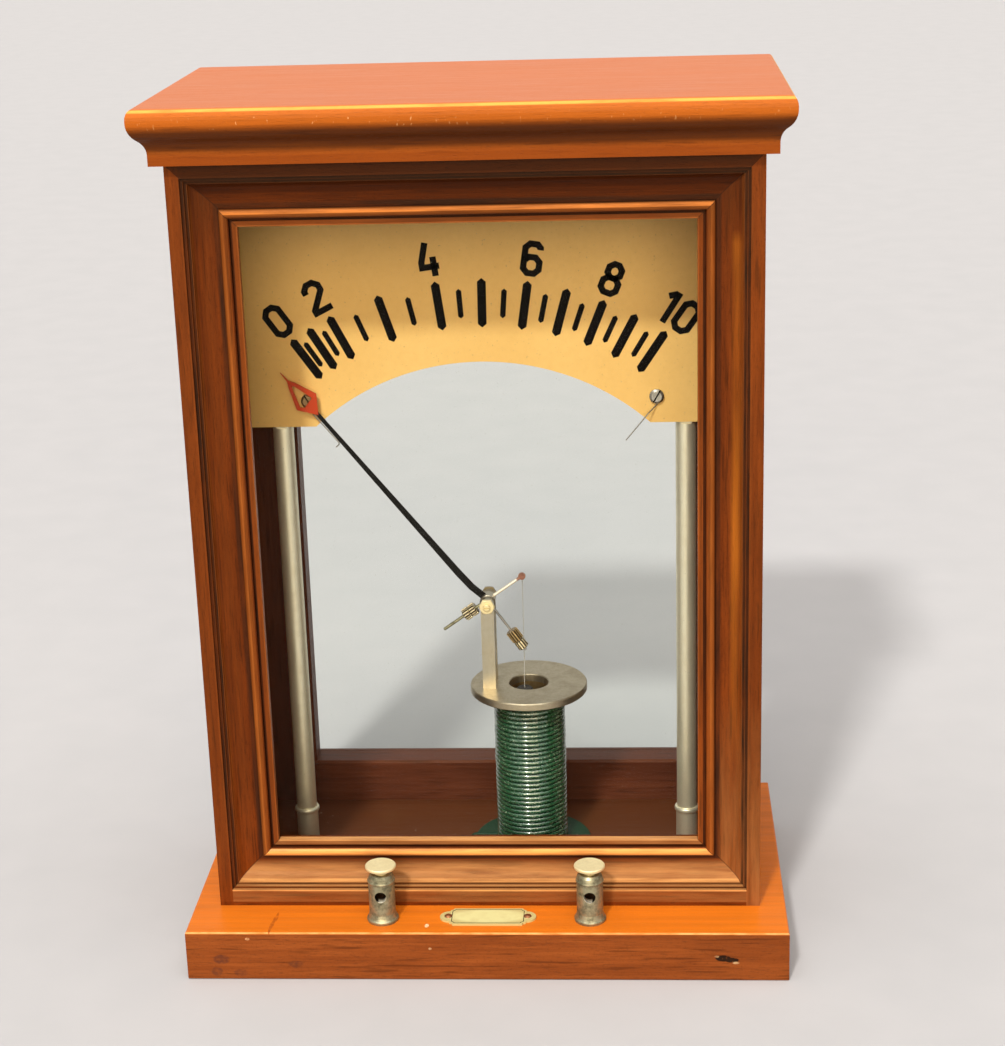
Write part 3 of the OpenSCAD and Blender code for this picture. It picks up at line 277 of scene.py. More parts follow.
def sheet_glass(name):
    """A thin pane: clear, faintly tinted, with a mirror share that grows at a slant, and dust."""
    g = Graph(name)
    facing = g.node("ShaderNodeLayerWeight", {"Blend": 0.5}).outputs["Facing"]
    mirror = g.math("ADD", g.times(g.math("POWER", facing, 5.0), MIRROR_SLANTED), MIRROR_STRAIGHT)
    dust = g.span(g.noise((1500, 1500, 1500), detail=2), 0.735, 0.80, 0.0, 0.55)
    clear = g.node("ShaderNodeBsdfTransparent", {"Color": (0.975, 0.985, 0.975, 1)})
    gloss = g.node("ShaderNodeBsdfGlossy", {"Color": (1, 1, 1, 1), "Roughness": 0.015})
    specks = g.node("ShaderNodeBsdfDiffuse", {"Color": (0.75, 0.72, 0.66, 1)})
    pane = g.node("ShaderNodeMixShader", {0: mirror, 1: clear.outputs[0], 2: gloss.outputs[0]})
    dusty = g.node("ShaderNodeMixShader", {0: dust, 1: pane.outputs[0], 2: specks.outputs[0]})
    g.node("ShaderNodeOutputMaterial", {"Surface": dusty.outputs[0]})
    return g.owner


# Woods of the part

base_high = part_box("base_board")[1]
front_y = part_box("base_board")[0].y
frame_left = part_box("front_stile_left")[0]
frame_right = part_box("front_stile_right")[1]
cornice_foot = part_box("cornice_board")[0].z
# The bottom rail's section starts this far above the frame's lowest edge, and the outer strip of
# the stiles is this wide and runs past both rails. Both are in millimetres.
SILL = 1.8
STRIP = 5.3

# Colours of the woods, then of their painted light and shade, wear and dirt. The cornice and base are
# lighter than the frame partly as painted light on what is one mahogany.
BASE_LIGHT = (0.36, 0.094, 0.020)
BASE_DARK = (0.19, 0.043, 0.009)
FRAME_LIGHT = (0.220, 0.044, 0.005)
FRAME_DARK = (0.088, 0.016, 0.002)
CORNICE_LIGHT = (0.56, 0.145, 0.015)
CORNICE_DARK = (0.31, 0.070, 0.007)
REAR_LIGHT = (0.16, 0.048, 0.022)
REAR_DARK = (0.075, 0.020, 0.010)
BASE_TOP_LIGHT = (0.80, 0.200, 0.010)
FLOOR_INSIDE_SHADE = (0.060, 0.022, 0.013)
BASE_ARRIS_WEAR_AND_HIGHLIGHT = (0.90, 0.48, 0.18)
CORNICE_SHADOW = (0.022, 0.006, 0.002)
SILL_DUST = (0.40, 0.17, 0.055)
COVE_HIGHLIGHT = (0.72, 0.23, 0.02)
# Rubbed arrises and beads, lightened as painted highlights, most on the bottom rail where light from above
# falls
WORN_AND_LIT_DRY = (0.66, 0.32, 0.11)
WORN_AND_LIT_WARM = (0.62, 0.20, 0.045)
BEAD_WORN_AND_LIT_DRY = (0.90, 0.40, 0.11)
BEAD_WORN_AND_LIT_WARM = (0.80, 0.26, 0.050)
GRIME_AND_SHADE = (0.012, 0.006, 0.004)


def base_wear_and_light(g, colour):
    """A top lightened as painted light, a rubbed front arris lightened as a painted highlight, and painted
    shade on the floor inside the case.
    """
    z = g.coordinate("Z")
    # Painted light: the top is lightened where light from above falls on it.
    top = g.span(z, base_high.z - 0.9 * MM, base_high.z - 0.4 * MM)
    patchy = g.span(g.noise((12, 300, 300), detail=4), 0.3, 0.7, 0.72, 1.0)
    colour = g.tint(colour, g.times(top, patchy), 0.85, BASE_TOP_LIGHT)
    # Painted shade on the floor inside the case, where the case keeps the light off.
    inside = g.block((frame_left.x + 0.004, frame_left.y + 0.004, base_high.z - 0.002),
                     (frame_right.x - 0.004, base_high.y + 0.01, base_high.z + 0.01), 0.002)
    colour = g.tint(colour, inside, 0.9, FLOOR_INSIDE_SHADE)
    # A rubbed front arris, lightened further as a painted highlight along the edge; the mask named rubbed
    # carries both.
    arris = g.spot((0, front_y, base_high.z), (0.4, 0.0007, 0.0007))
    rubbed = g.span(g.noise((160, 400, 400), detail=4), 0.36, 0.66, 0.30, 1.0)
    return g.tint(colour, g.times(arris, rubbed), 0.75, BASE_ARRIS_WEAR_AND_HIGHLIGHT)


BARE_WOOD = (0.60, 0.38, 0.20)
STAIN = (0.060, 0.022, 0.020)
SCRATCH = (0.36, 0.075, 0.008)
# Marks on the base board's front and ledge: centre, half axes, shade and strength
BASE_MARKS = [
    ((0.0940, front_y, 0.0100), (0.0034, 0.002, 0.0015), (0.012, 0.005, 0.003), 1.8),
    ((0.0975, front_y, 0.0092), (0.0030, 0.002, 0.0012), (0.016, 0.007, 0.004), 1.8),
    ((0.0990, front_y, 0.0080), (0.0016, 0.002, 0.0006), BARE_WOOD, 0.9),
    ((0.0915, front_y, 0.0108), (0.0010, 0.002, 0.0005), BARE_WOOD, 0.8),
    ((-0.1060, front_y, 0.0090), (0.0036, 0.002, 0.0024), STAIN, 0.6),
    ((-0.1080, front_y, 0.0036), (0.0026, 0.002, 0.0022), STAIN, 0.5),
    ((-0.0985, front_y, 0.0030), (0.0030, 0.002, 0.0018), STAIN, 0.45),
    ((-0.0760, front_y, 0.0070), (0.0034, 0.002, 0.0018), (0.070, 0.026, 0.018), 0.5),
    ((-0.0950, front_y, 0.0182), (0.0010, 0.002, 0.0007), (0.85, 0.45, 0.22), 0.8),
    ((-0.0220, front_y, 0.0140), (0.0007, 0.002, 0.0006), (0.75, 0.48, 0.26), 0.8),
    ((-0.0235, front_y + 0.0060, 0.0210), (0.0009, 0.0016, 0.002), (0.95, 0.75, 0.48), 0.9),
    ((-0.0862, front_y + 0.0040, 0.0210), (0.0006, 0.0055, 0.002), SCRATCH, 0.9),
    ((-0.0856, front_y + 0.0085, 0.0210), (0.0006, 0.0055, 0.002), SCRATCH, 0.9),
    ((-0.0848, front_y + 0.0130, 0.0210), (0.0006, 0.0045, 0.002), SCRATCH, 0.8),
]


def frame_profile(g):
    """The distance in from the front frame's outer edge, in millimetres, as its section is measured.
    Then three masks: the bottom rail, the top rail, and the mitres."""
    x = g.coordinate("X")
    z = g.coordinate("Z")
    sides = g.math("MINIMUM", g.math("SUBTRACT", x, frame_left.x), g.math("SUBTRACT", frame_right.x, x))
    above = g.math("SUBTRACT", z, frame_left.z + SILL * MM)
    below = g.math("SUBTRACT", frame_right.z, z)
    ends = g.math("MINIMUM", above, below)
    profile = g.times(g.math("MINIMUM", sides, ends), 1 / MM)
    bottom = g.times(g.span(g.math("SUBTRACT", sides, above), 0.0, 0.2 * MM),
                     g.span(sides, (STRIP - 0.1) * MM, (STRIP + 0.1) * MM))
    top = g.span(g.math("SUBTRACT", sides, below), 0.0, 0.2 * MM)
    apart = g.math("ABSOLUTE", g.math("SUBTRACT", sides, ends))
    mitre = g.times(g.span(apart, 0.10 * MM, 0.32 * MM, 1.0, 0.0), g.span(profile, STRIP - 0.1, STRIP + 0.3))
    return profile, bottom, top, mitre


# Lines along the front frame's section: start, end, soft edge, and strength on the bottom rail,
# on the top rail and on the sides
# Dirt and painted shade in the steps and grooves of the moulding
DIRT_AND_SHADE_LINES = [
    (5.35, 6.3, 0.15, 0.65, 0.90, 0.95),
    (6.6, 7.5, 0.15, 0.75, 0.90, 0.95),
    (16.2, 17.9, 0.8, 0.80, 0.85, 0.80),
    (21.5, 22.4, 0.15, 0.75, 0.90, 0.85),
]
# Rubbed arrises and flats, with painted highlights on the bottom rail's steps and cove
RUBBED_AND_LIT_LINES = [
    (0.0, 4.6, 0.3, 0.20, 0.00, 0.06),
    (4.7, 5.35, 0.1, 1.20, 0.00, 0.10),
    (6.3, 6.6, 0.1, 0.80, 0.00, 0.10),
    (7.6, 8.2, 0.3, 0.85, 0.05, 0.22),
    (8.2, 12.5, 3.0, 0.50, 0.00, 0.05),
    (22.6, 24.6, 0.1, 0.35, 0.15, 0.10),
    (24.1, 24.6, 0.1, 0.85, 0.35, 0.25),
]
# The bead: worn, and lightened as a painted highlight, most on the bottom rail
BEAD_WEAR_AND_HIGHLIGHT_LINES = [
    (18.2, 19.5, 0.4, 1.20, 0.80, 0.26),
    (19.5, 20.9, 0.4, 1.20, 0.22, 0.16),
]


def sides_wear_and_light(g, colour, profile, top, bottom, uneven):
    """The stiles' own marks: painted shadow under the cornice, dust low down on the right one, and a painted
    highlight streak along its cove.
    """
    z = g.coordinate("Z")
    # Painted shadow of the cornice on the stiles' upper ends.
    shaded = g.times(g.span(z, frame_right.z - 0.034, frame_right.z - 0.012),
                     g.span(profile, STRIP - 0.1, STRIP + 0.1))
    colour = g.tint(colour, g.math("SUBTRACT", shaded, top, clamp=True), 0.45, CORNICE_SHADOW)
    rails = g.math("ADD", top, bottom)
    right = g.math("SUBTRACT", g.span(g.coordinate("X"), -0.01, 0.01), rails, clamp=True)
    low_down = g.span(z, frame_left.z + 0.015, frame_left.z + 0.090, 1.0, 0.0)
    dusty = g.times(right, low_down, uneven, g.span(profile, 15.0, 17.0, 1.0, 0.0))
    colour = g.tint(colour, dusty, 0.55, SILL_DUST)
    # Painted highlight: a bright streak along the right stile's cove.
    cove_highlight = g.times(g.span(g.noise((60, 60, 9), detail=3), 0.36, 0.60, 0.10, 0.50), right)
    cove_highlight = g.times(cove_highlight, g.span(z, 0.08, 0.18))
    cove_highlight = g.math("SUBTRACT", cove_highlight, shaded, clamp=True)
    return g.tint(colour, g.times(g.band(profile, 9.4, 10.8, 1.6), cove_highlight), 1.0, COVE_HIGHLIGHT)


def frame_wear_and_light(g, colour, grain):
    """Dirt and painted shade in the corners of the moulding, rubbed arrises and beads lightened as painted
    highlights, most on the bottom rail, and painted shadow under the cornice.
    """
    profile, bottom, top, mitre = frame_profile(g)
    uneven = g.span(g.noise(grain_scale(grain, 35, 420), detail=4), 0.34, 0.62, 0.45, 1.0)
    # Painted shadow of the cornice on the top rail, strongest on the outer part of the section.
    cornice_shade = g.span(profile, 7.0, 18.0, 0.72, 0.25)
    colour = g.tint(colour, g.times(top, cornice_shade), 1.0, CORNICE_SHADOW)
    colour = sides_wear_and_light(g, colour, profile, top, bottom, uneven)
    for lines, dry, warm in ((RUBBED_AND_LIT_LINES, WORN_AND_LIT_DRY, WORN_AND_LIT_WARM), (BEAD_WEAR_AND_HIGHLIGHT_LINES, BEAD_WORN_AND_LIT_DRY, BEAD_WORN_AND_LIT_WARM),
                             (DIRT_AND_SHADE_LINES, GRIME_AND_SHADE, GRIME_AND_SHADE)):
        shade = g.mix(bottom, warm, dry)
        for start, end, soft, on_bottom, on_top, on_sides in lines:
            strength = g.math("ADD", g.span(bottom, 0.0, 1.0, on_sides, on_bottom),
                              g.times(top, on_top - on_sides))
            mask = g.times(g.band(profile, start, end, soft), uneven, strength)
            colour = g.tint(colour, mask, 1.0, shade)
    return g.tint(colour, mitre, 0.65, GRIME_AND_SHADE)


CORNICE_TOP_SHEEN = (0.60, 0.172, 0.060)
CORNICE_NOSE = (0.60, 0.150, 0.014)
CORNICE_UNDERCUT_SHADE = (0.055, 0.014, 0.003)
CORNICE_FASCIA = (0.24, 0.046, 0.003)
CORNICE_ARRIS_WEAR_AND_HIGHLIGHT = (1.0, 0.48, 0.09)
CORNICE_KNOCK = (0.85, 0.46, 0.19)


def cornice_wear_and_light(g, colour):
    """A top painted with a sheen, a rubbed arris lightened as a painted highlight, small knocks along the
    nose, and painted shade in the hollow.
    """
    up = g.times(g.math("SUBTRACT", g.coordinate("Z"), cornice_foot), 1 / MM)
    # Painted sheen on the cornice's top.
    colour = g.tint(colour, g.span(up, 20.6, 21.1), 0.85, CORNICE_TOP_SHEEN)
    colour = g.tint(colour, g.band(up, 15.5, 20.0, 2.5), 0.55, CORNICE_NOSE)
    # Painted shade in the undercut hollow below the nose, which faces down.
    colour = g.tint(colour, g.band(up, 6.2, 12.4, 2.8), 0.82, CORNICE_UNDERCUT_SHADE)
    colour = g.tint(colour, g.span(up, 3.0, 5.0, 0.75, 0.0), 1.0, CORNICE_FASCIA)
    # A rubbed arris along the top edge, lightened further as a painted highlight; the mask named rubbed
    # carries both.
    rubbed = g.span(g.noise((50, 300, 300), detail=4), 0.30, 0.52, 0.45, 1.0)
    colour = g.tint(colour, g.times(g.band(up, 20.1, 20.7, 0.3), rubbed), 0.80, CORNICE_ARRIS_WEAR_AND_HIGHLIGHT)
    knocks = g.span(g.noise((800, 800, 320), detail=2), 0.655, 0.71)
    left = g.band(g.coordinate("X"), -0.085, -0.018, 0.012)
    knocks = g.times(knocks, g.math("MAXIMUM", left, 0.45))
    return g.tint(colour, g.times(knocks, g.band(up, 14.2, 17.4, 0.8)), 0.7, CORNICE_KNOCK)


base_wood = wood("base_mahogany", "x", BASE_LIGHT, BASE_DARK, BASE_MARKS, base_wear_and_light)
cornice_wood = wood("cornice_mahogany", "x", CORNICE_LIGHT, CORNICE_DARK, worn=cornice_wear_and_light, coat=0.10)
rail_wood = wood("rail_mahogany", "x", FRAME_LIGHT, FRAME_DARK, worn=lambda g, c: frame_wear_and_light(g, c, "x"))
stile_wood = wood("stile_mahogany", "z", FRAME_LIGHT, FRAME_DARK, worn=lambda g, c: frame_wear_and_light(g, c, "z"))
side_wood = wood("side_mahogany", "z", FRAME_LIGHT, FRAME_DARK)
rear_wood = wood("rear_mahogany", "z", REAR_LIGHT, REAR_DARK)
rear_rail_wood = wood("rear_rail_mahogany", "x", REAR_LIGHT, REAR_DARK)


# Metals, paints and glass of the part, with the places where some of them are aged, and painted shade and
# highlights on some

def tarnished_spots(places):
    """Aged places on metal: each one's centre, half axes, shade and strength."""
    def aged(g, base):
        for centre, size, shade, strength in places:
            base = g.tint(base, g.spot(centre, size), strength, shade)
        return base
    return aged


WIRE_HOLE_HEIGHT = 12.2 * MM
WIRE_HOLE_RADIUS = 2.2 * MM
BORE_SHADE = (0.006, 0.005, 0.004)
BORE_HIGHLIGHT = (1.0, 0.98, 0.82)
SLOT_SHADE = (0.010, 0.008, 0.006)
BROWNED_HEAD = (0.26, 0.155, 0.055)


def bore_shade_and_highlight(g, base):
    """Painted shade inside the wire holes, but for a painted highlight low down near each hole's mouth."""
    for node, lean in (("terminal_left", 0.5), ("terminal_right", -0.5)):
        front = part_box(node)[0].y
        middle = (centre_of(node).x, 0, base_high.z + WIRE_HOLE_HEIGHT)
        flat = g.vector("MULTIPLY", g.vector("SUBTRACT", g.place(), middle), (1, 0, 1))
        away = g.vector("LENGTH", flat)
        down = g.vector("DOT_PRODUCT", flat, (lean, 0, -0.87))
        inside = g.span(away, WIRE_HOLE_RADIUS + 0.06 * MM, WIRE_HOLE_RADIUS + 0.16 * MM, 1.0, 0.0)
        mouth = g.span(g.coordinate("Y"), front + 3.0 * MM, front + 4.5 * MM, 1.0, 0.0)
        # Painted highlight: a bright crescent low on the hole's wall near its mouth, in the mask named
        # rubbed; painted shade elsewhere inside.
        rubbed = g.times(g.span(down, 0.45 * WIRE_HOLE_RADIUS, 0.65 * WIRE_HOLE_RADIUS), mouth)
        base = g.tint(base, inside, 1.0, g.mix(rubbed, BORE_SHADE, BORE_HIGHLIGHT))
    return base


def stop_screw_marks(g, base):
    """A browned head on the left stop screw, and painted shade on the floor of the slots, behind the heads'
    faces.
    """
    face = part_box("stop_screws")[0].y
    y = g.coordinate("Y")
    left = g.span(g.coordinate("X"), -0.010, 0.0, 1.0, 0.0)
    in_front = g.span(y, face + 2.0 * MM, face + 3.0 * MM, 1.0, 0.0)
    at_stops = g.band(g.coordinate("Z"), 0.19, 0.24, 0.01)
    base = g.tint(base, g.times(left, in_front, at_stops), 0.85, BROWNED_HEAD)
    # Painted shade on the floor of each slot
    normal = g.node("ShaderNodeTexCoord").outputs["Normal"]
    forward = g.span(g.vector("DOT_PRODUCT", normal, (0, -1, 0)), 0.90, 0.95)
    behind = g.span(y, face + 0.3 * MM, face + 0.5 * MM)
    return g.tint(base, g.times(behind, forward), 1.0, SLOT_SHADE)


def joint_of(name):
    """A joint's own row in the frame's record."""
    return next(row for row in frame["record"]["behaviour"]["joints"] if row["name"] == name)


pivot = Vector(joint_of("pointer_swing")["pos_m"])
rear_post_y = centre_of("fork_post_rear").y
wire_low, wire_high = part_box("suspension_wire")
eye = (centre_of("suspension_wire").x, wire_low.y, wire_high.z - 0.9 * MM)
bearing_place = (pivot.x, rear_post_y + 0.0060, pivot.z)
post_top = (pivot.x, rear_post_y, pivot.z)
rear_bearing = [(bearing_place, (0.0080, 0.0060, 0.0080), (0.15, 0.105, 0.050), 0.9)]
rear_post_top = [(post_top, (0.0080, 0.0040, 0.0090), (0.22, 0.165, 0.085), 0.8)]
rusty_eye = [(eye, (0.0030, 0.0050, 0.0030), (0.26, 0.085, 0.045), 0.9)]

# Each metal: colour, stain and roughness, then the grain of its rubbing marks where it has its own
nickel = metal("satin_nickel", (0.50, 0.455, 0.355), (0.33, 0.28, 0.19), 0.34, (500, 500, 60),
               aged=tarnished_spots(rear_post_top))
column_nickel = metal("column_nickel", (0.90, 0.85, 0.66), (0.66, 0.60, 0.44), 0.42, (500, 500, 60),
                      metallic=0.75)
arm_nickel = metal("arm_nickel", (0.95, 0.90, 0.80), (0.70, 0.60, 0.46), 0.40, metallic=0.6,
                   aged=tarnished_spots(rusty_eye))
flange_nickel = metal("turned_nickel", (0.49, 0.42, 0.30), (0.29, 0.235, 0.155), 0.36)
aged_nickel = metal("aged_nickel", (0.38, 0.36, 0.235), (0.12, 0.115, 0.070), 0.40, (500, 500, 500),
                    stained=1.0, metallic=0.80, aged=bore_shade_and_highlight, clouding=330)
pale_nickel = metal("pale_nickel", (0.90, 0.78, 0.46), (0.62, 0.50, 0.26), 0.42, metallic=0.45,
                    aged=tarnished_spots(rear_bearing))
brass = metal("satin_brass", (0.62, 0.43, 0.19), (0.30, 0.19, 0.08), 0.33, stained=0.5)
copper = metal("dull_copper", (0.38, 0.17, 0.085), (0.15, 0.065, 0.035), 0.42, stained=0.6)
steel = metal("dull_steel", (0.46, 0.44, 0.39), (0.16, 0.13, 0.10), 0.36, stained=0.7, aged=stop_screw_marks)
steel_wire = metal("drawn_steel", (0.42, 0.40, 0.37), (0.20, 0.17, 0.13), 0.35)
fine_wire = metal("fine_wire", (0.46, 0.46, 0.45), (0.36, 0.36, 0.35), 0.60, metallic=0.1,
                  aged=tarnished_spots(rusty_eye))
iron = metal("soft_iron", (0.040, 0.036, 0.033), (0.024, 0.019, 0.016), 0.75, stained=0.6, metallic=0.2)
black = paint("matt_black", (0.004, 0.0035, 0.003), (0.05, 0.045, 0.04), 0.50, gloss=0.15)
red = paint("arrow_red", (0.52, 0.050, 0.010), (0.55, 0.20, 0.10), 0.45, coat=0.05, gloss=0.25)
mark_black = paint("dial_black", (0.003, 0.0020, 0.0015), (0.03, 0.02, 0.012), 0.60, gloss=0.05)
green = paint("green_varnish", (0.007, 0.044, 0.018), (0.10, 0.20, 0.11), 0.50, gloss=0.25)
glass = sheet_glass("sheet_glass")


def slide_axis(joint):
    """The direction that a nut slides along, and the one square to it in the plane of the swing."""
    along = Vector(joint_of(joint)["axis"])
    return along, Vector((-along.z, 0.0, along.x))


def knurled(node, colour, valley, teeth):
    """Metal with straight knurling round the axis that a nut slides along, with painted shade between the
    teeth.
    """
    g = Graph(node + "_knurl")
    along, across = slide_axis(node + "_slide")
    moved = g.vector("SUBTRACT", g.place(), centre_of(node))
    side = g.vector("DOT_PRODUCT", moved, across)
    depth = g.node("ShaderNodeSeparateXYZ", {0: moved}).outputs["Y"]
    angle = g.math("ARCTAN2", side, depth)
    ridge = g.span(g.math("SINE", g.times(angle, teeth)), -0.5, 0.5)
    cloud = g.noise((500, 500, 500), detail=3)
    # Painted shade between the teeth, in the colour named valley, which also darkens the tarnish clouds.
    base = g.mix(ridge, valley, colour)
    base = g.tint(base, g.span(cloud, 0.45, 0.7), 0.4, valley)
    return g.surface({
        "Base Color": base,
        "Metallic": 0.8,
        "Roughness": g.span(cloud, 0.3, 0.7, 0.28, 0.42),
        "Normal": g.bump(ridge, 0.00010, 0.6),
    })


NUT_COLOUR = (0.92, 0.80, 0.54)
NUT_SHADE_AND_TARNISH = (0.060, 0.044, 0.024)
TOOTH_DEPTH = 0.28 * MM
# Each knurled part: colour, painted shade between the teeth that also darkens its tarnish clouds, and number
# of teeth
KNURLS = {
    "balance_nut_inner": (NUT_COLOUR, NUT_SHADE_AND_TARNISH, 14),
    "balance_nut_outer": (NUT_COLOUR, NUT_SHADE_AND_TARNISH, 14),
    "tail_lock_nut": ((0.97, 0.84, 0.55), NUT_SHADE_AND_TARNISH, 12),
    "tail_weight": ((0.52, 0.37, 0.17), (0.075, 0.048, 0.022), 14),
}
nut_looks = {node: knurled(node, *values) for node, values in KNURLS.items()}


def winding_look():
    """Green varnish over covered wire: glossy crowns, painted shade in the valleys between turns, and pale
    flecks painted as glints.
    """
    g = Graph("winding_green")
    axis = centre_of("coil_winding")
    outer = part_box("coil_winding")[1].x - axis.x
    flat = g.vector("MULTIPLY", g.vector("SUBTRACT", g.place(), axis), (1, 1, 0))
    crown = g.span(g.vector("LENGTH", flat), outer - 0.75 * MM, outer - 0.15 * MM)
    cloud = g.noise((160, 160, 400), detail=4)
    fleck = g.noise((1400, 1400, 2200), detail=2)
    # Painted shade in the valleys between turns, lighter towards each crown
    colour = g.mix(crown, (0.002, 0.014, 0.007), (0.020, 0.098, 0.044))
    colour = g.tint(colour, g.span(cloud, 0.45, 0.7), 0.5, (0.034, 0.135, 0.064))
    # Pale flecks on the crowns, painted as glints
    flecks = g.times(g.span(fleck, 0.60, 0.69), g.span(cloud, 0.40, 0.60))
    colour = g.tint(colour, g.times(crown, flecks), 0.8, (0.70, 0.78, 0.64))
    return g.surface({
        "Base Color": colour,
        "Roughness": g.span(fleck, 0.3, 0.7, 0.22, 0.38),
        "Coat Weight": 1.0,
        "Coat Roughness": 0.09,
        "Coat IOR": 2.0,
        "Normal": g.bump(fleck, 0.00006, 0.6),
    })


def dial_look():
    """Aged cream paint: faint yellowing, soft blotches and tiny foxing specks."""
    g = Graph("dial_cream")
    cloud = g.noise((18, 18, 18), detail=3)
    fine = g.noise((420, 420, 420), detail=3)
    speck = g.noise((1100, 1100, 1100), detail=1)
    colour = g.mix(g.span(cloud, 0.35, 0.68), (0.90, 0.585, 0.20), (0.84, 0.525, 0.165))
    colour = g.mix(g.span(fine, 0.4, 0.7, 0.0, 0.18), colour, (0.74, 0.44, 0.13))
    colour = g.mix(g.span(speck, 0.72, 0.78, 0.0, 0.5), colour, (0.35, 0.22, 0.10))
    return g.surface({
        "Base Color": colour,
        "Roughness": g.span(fine, 0.3, 0.7, 0.42, 0.52),
        "Specular IOR Level": 0.4,
        "Normal": g.bump(fine, 0.00002, 0.3),
    })


def plate_look():
    """Pale cream unit plate, a little darker and rubbed towards its edges."""
    g = Graph("cream_plate")
    low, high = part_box("unit_plate")
    inner = g.spot(centre_of("unit_plate"), ((high.x - low.x) * 0.46, (high.y - low.y) * 0.46, 0.01))
    cloud = g.noise((260, 260, 260), detail=4)
    colour = g.mix(inner, (0.54, 0.48, 0.21), (0.70, 0.68, 0.33))
    colour = g.tint(colour, g.span(cloud, 0.46, 0.7), 0.25, (0.52, 0.42, 0.18))
    return g.surface({
        "Base Color": colour,
        "Roughness": g.span(cloud, 0.3, 0.7, 0.32, 0.45),
        "Coat Weight": 0.2,
        "Coat Roughness": 0.2,
        "Normal": g.bump(cloud, 0.00004, 0.4),
    })


# Each material and the CAD nodes that it goes on
looks = {
    base_wood: ["base_board"],
    cornice_wood: ["cornice_board"],
    rail_wood: ["front_rail_top", "front_rail_bottom"],
    stile_wood: ["front_stile_left", "front_stile_right"],
    side_wood: ["side_panel_left", "side_panel_right", "front_glazing_beads"],
    rear_wood: ["rear_stile_left", "rear_stile_right", "rear_glazing_beads"],
    rear_rail_wood: ["rear_rail_top", "rear_rail_bottom"],
    glass: ["front_glass", "rear_glass"],
    dial_look(): ["dial_plate"],
    nickel: ["fork_post_front", "fork_post_rear", "pointer_hub", "dial_screws"],
    column_nickel: ["column_left", "column_right", "column_foot_left", "column_foot_right"],
    arm_nickel: ["lifting_arm"],
    flange_nickel: ["coil_top_flange"],
    aged_nickel: ["terminal_left", "terminal_right", "balance_rod"],
    pale_nickel: ["thumbscrew_left", "thumbscrew_right", "bearing_lock_nuts", "bearing_screw_front",
                  "bearing_screw_rear"],
    brass: ["coil_tube", "coil_screws", "terminal_nuts", "terminal_washers"],
    copper: ["connection_straps", "unit_plate_pins"],
    steel: ["case_screws", "column_screws", "stop_screws"],
    steel_wire: ["stop_wire_left", "stop_wire_right", "tail_rod", "pointer_axle"],
    fine_wire: ["suspension_wire"],
    iron: ["iron_core"],
    black: ["pointer_stem"],
    red: ["pointer_arrow"],
    green: ["coil_bottom_flange", "coil_leads"],
    plate_look(): ["unit_plate"],
}
for name, material in nut_looks.items():
    looks[material] = [name]
for material, names in looks.items():
    for name in names:
        node = nodes[name]
        if not node.material_slots:
            node.data.materials.append(material)
        for slot in node.material_slots:
            slot.material = material


# New pieces

def add_piece(name, mesh, material, body):
    """A new mesh that rides on a CAD body and takes the material it is given."""
    piece = bpy.data.objects.new(name, mesh)
    bpy.context.scene.collection.objects.link(piece)
    piece.data.materials.append(material)
    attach(piece, body)
    return piece


def prism_mesh(name, faces, to_place, height):
    """Thin raised figures: each face is a list of flat points, lifted by a height."""
    mesh = bpy.data.meshes.new(name)
    bm = bmesh.new()
    for face in faces:
        low = [bm.verts.new(to_place(u, v, 0.0)) for u, v in face]
        top = [bm.verts.new(to_place(u, v, height)) for u, v in face]
        bm.faces.new(top)
        for i in range(len(face)):
            j = (i + 1) % len(face)
            bm.faces.new((low[i], low[j], top[j], top[i]))
    bmesh.ops.recalc_face_normals(bm, faces=bm.faces)
    bm.to_mesh(mesh)
    bm.free()
    return mesh


def stroke(points, width, closed=False):
    """Quads along a pen line of even width, mitred at its corners."""
    count = len(points)
    left, right = [], []
    for i, point in enumerate(points):
        here = Vector(point)
        back = here - Vector(points[i - 1]) if i or closed else None
        ahead = Vector(points[(i + 1) % count]) - here if i < count - 1 or closed else None
        first = (back or ahead).normalized()
        second = (ahead or back).normalized()
        normal = Vector((-first.y - second.y, first.x + second.x)).normalized()
        reach = width / 2 / max(0.35, normal.dot(Vector((-first.y, first.x))))
        left.append(here + normal * reach)
        right.append(here - normal * reach)
    last = count if closed else count - 1
    return [[left[i], right[i], right[(i + 1) % count], left[(i + 1) % count]] for i in range(last)]


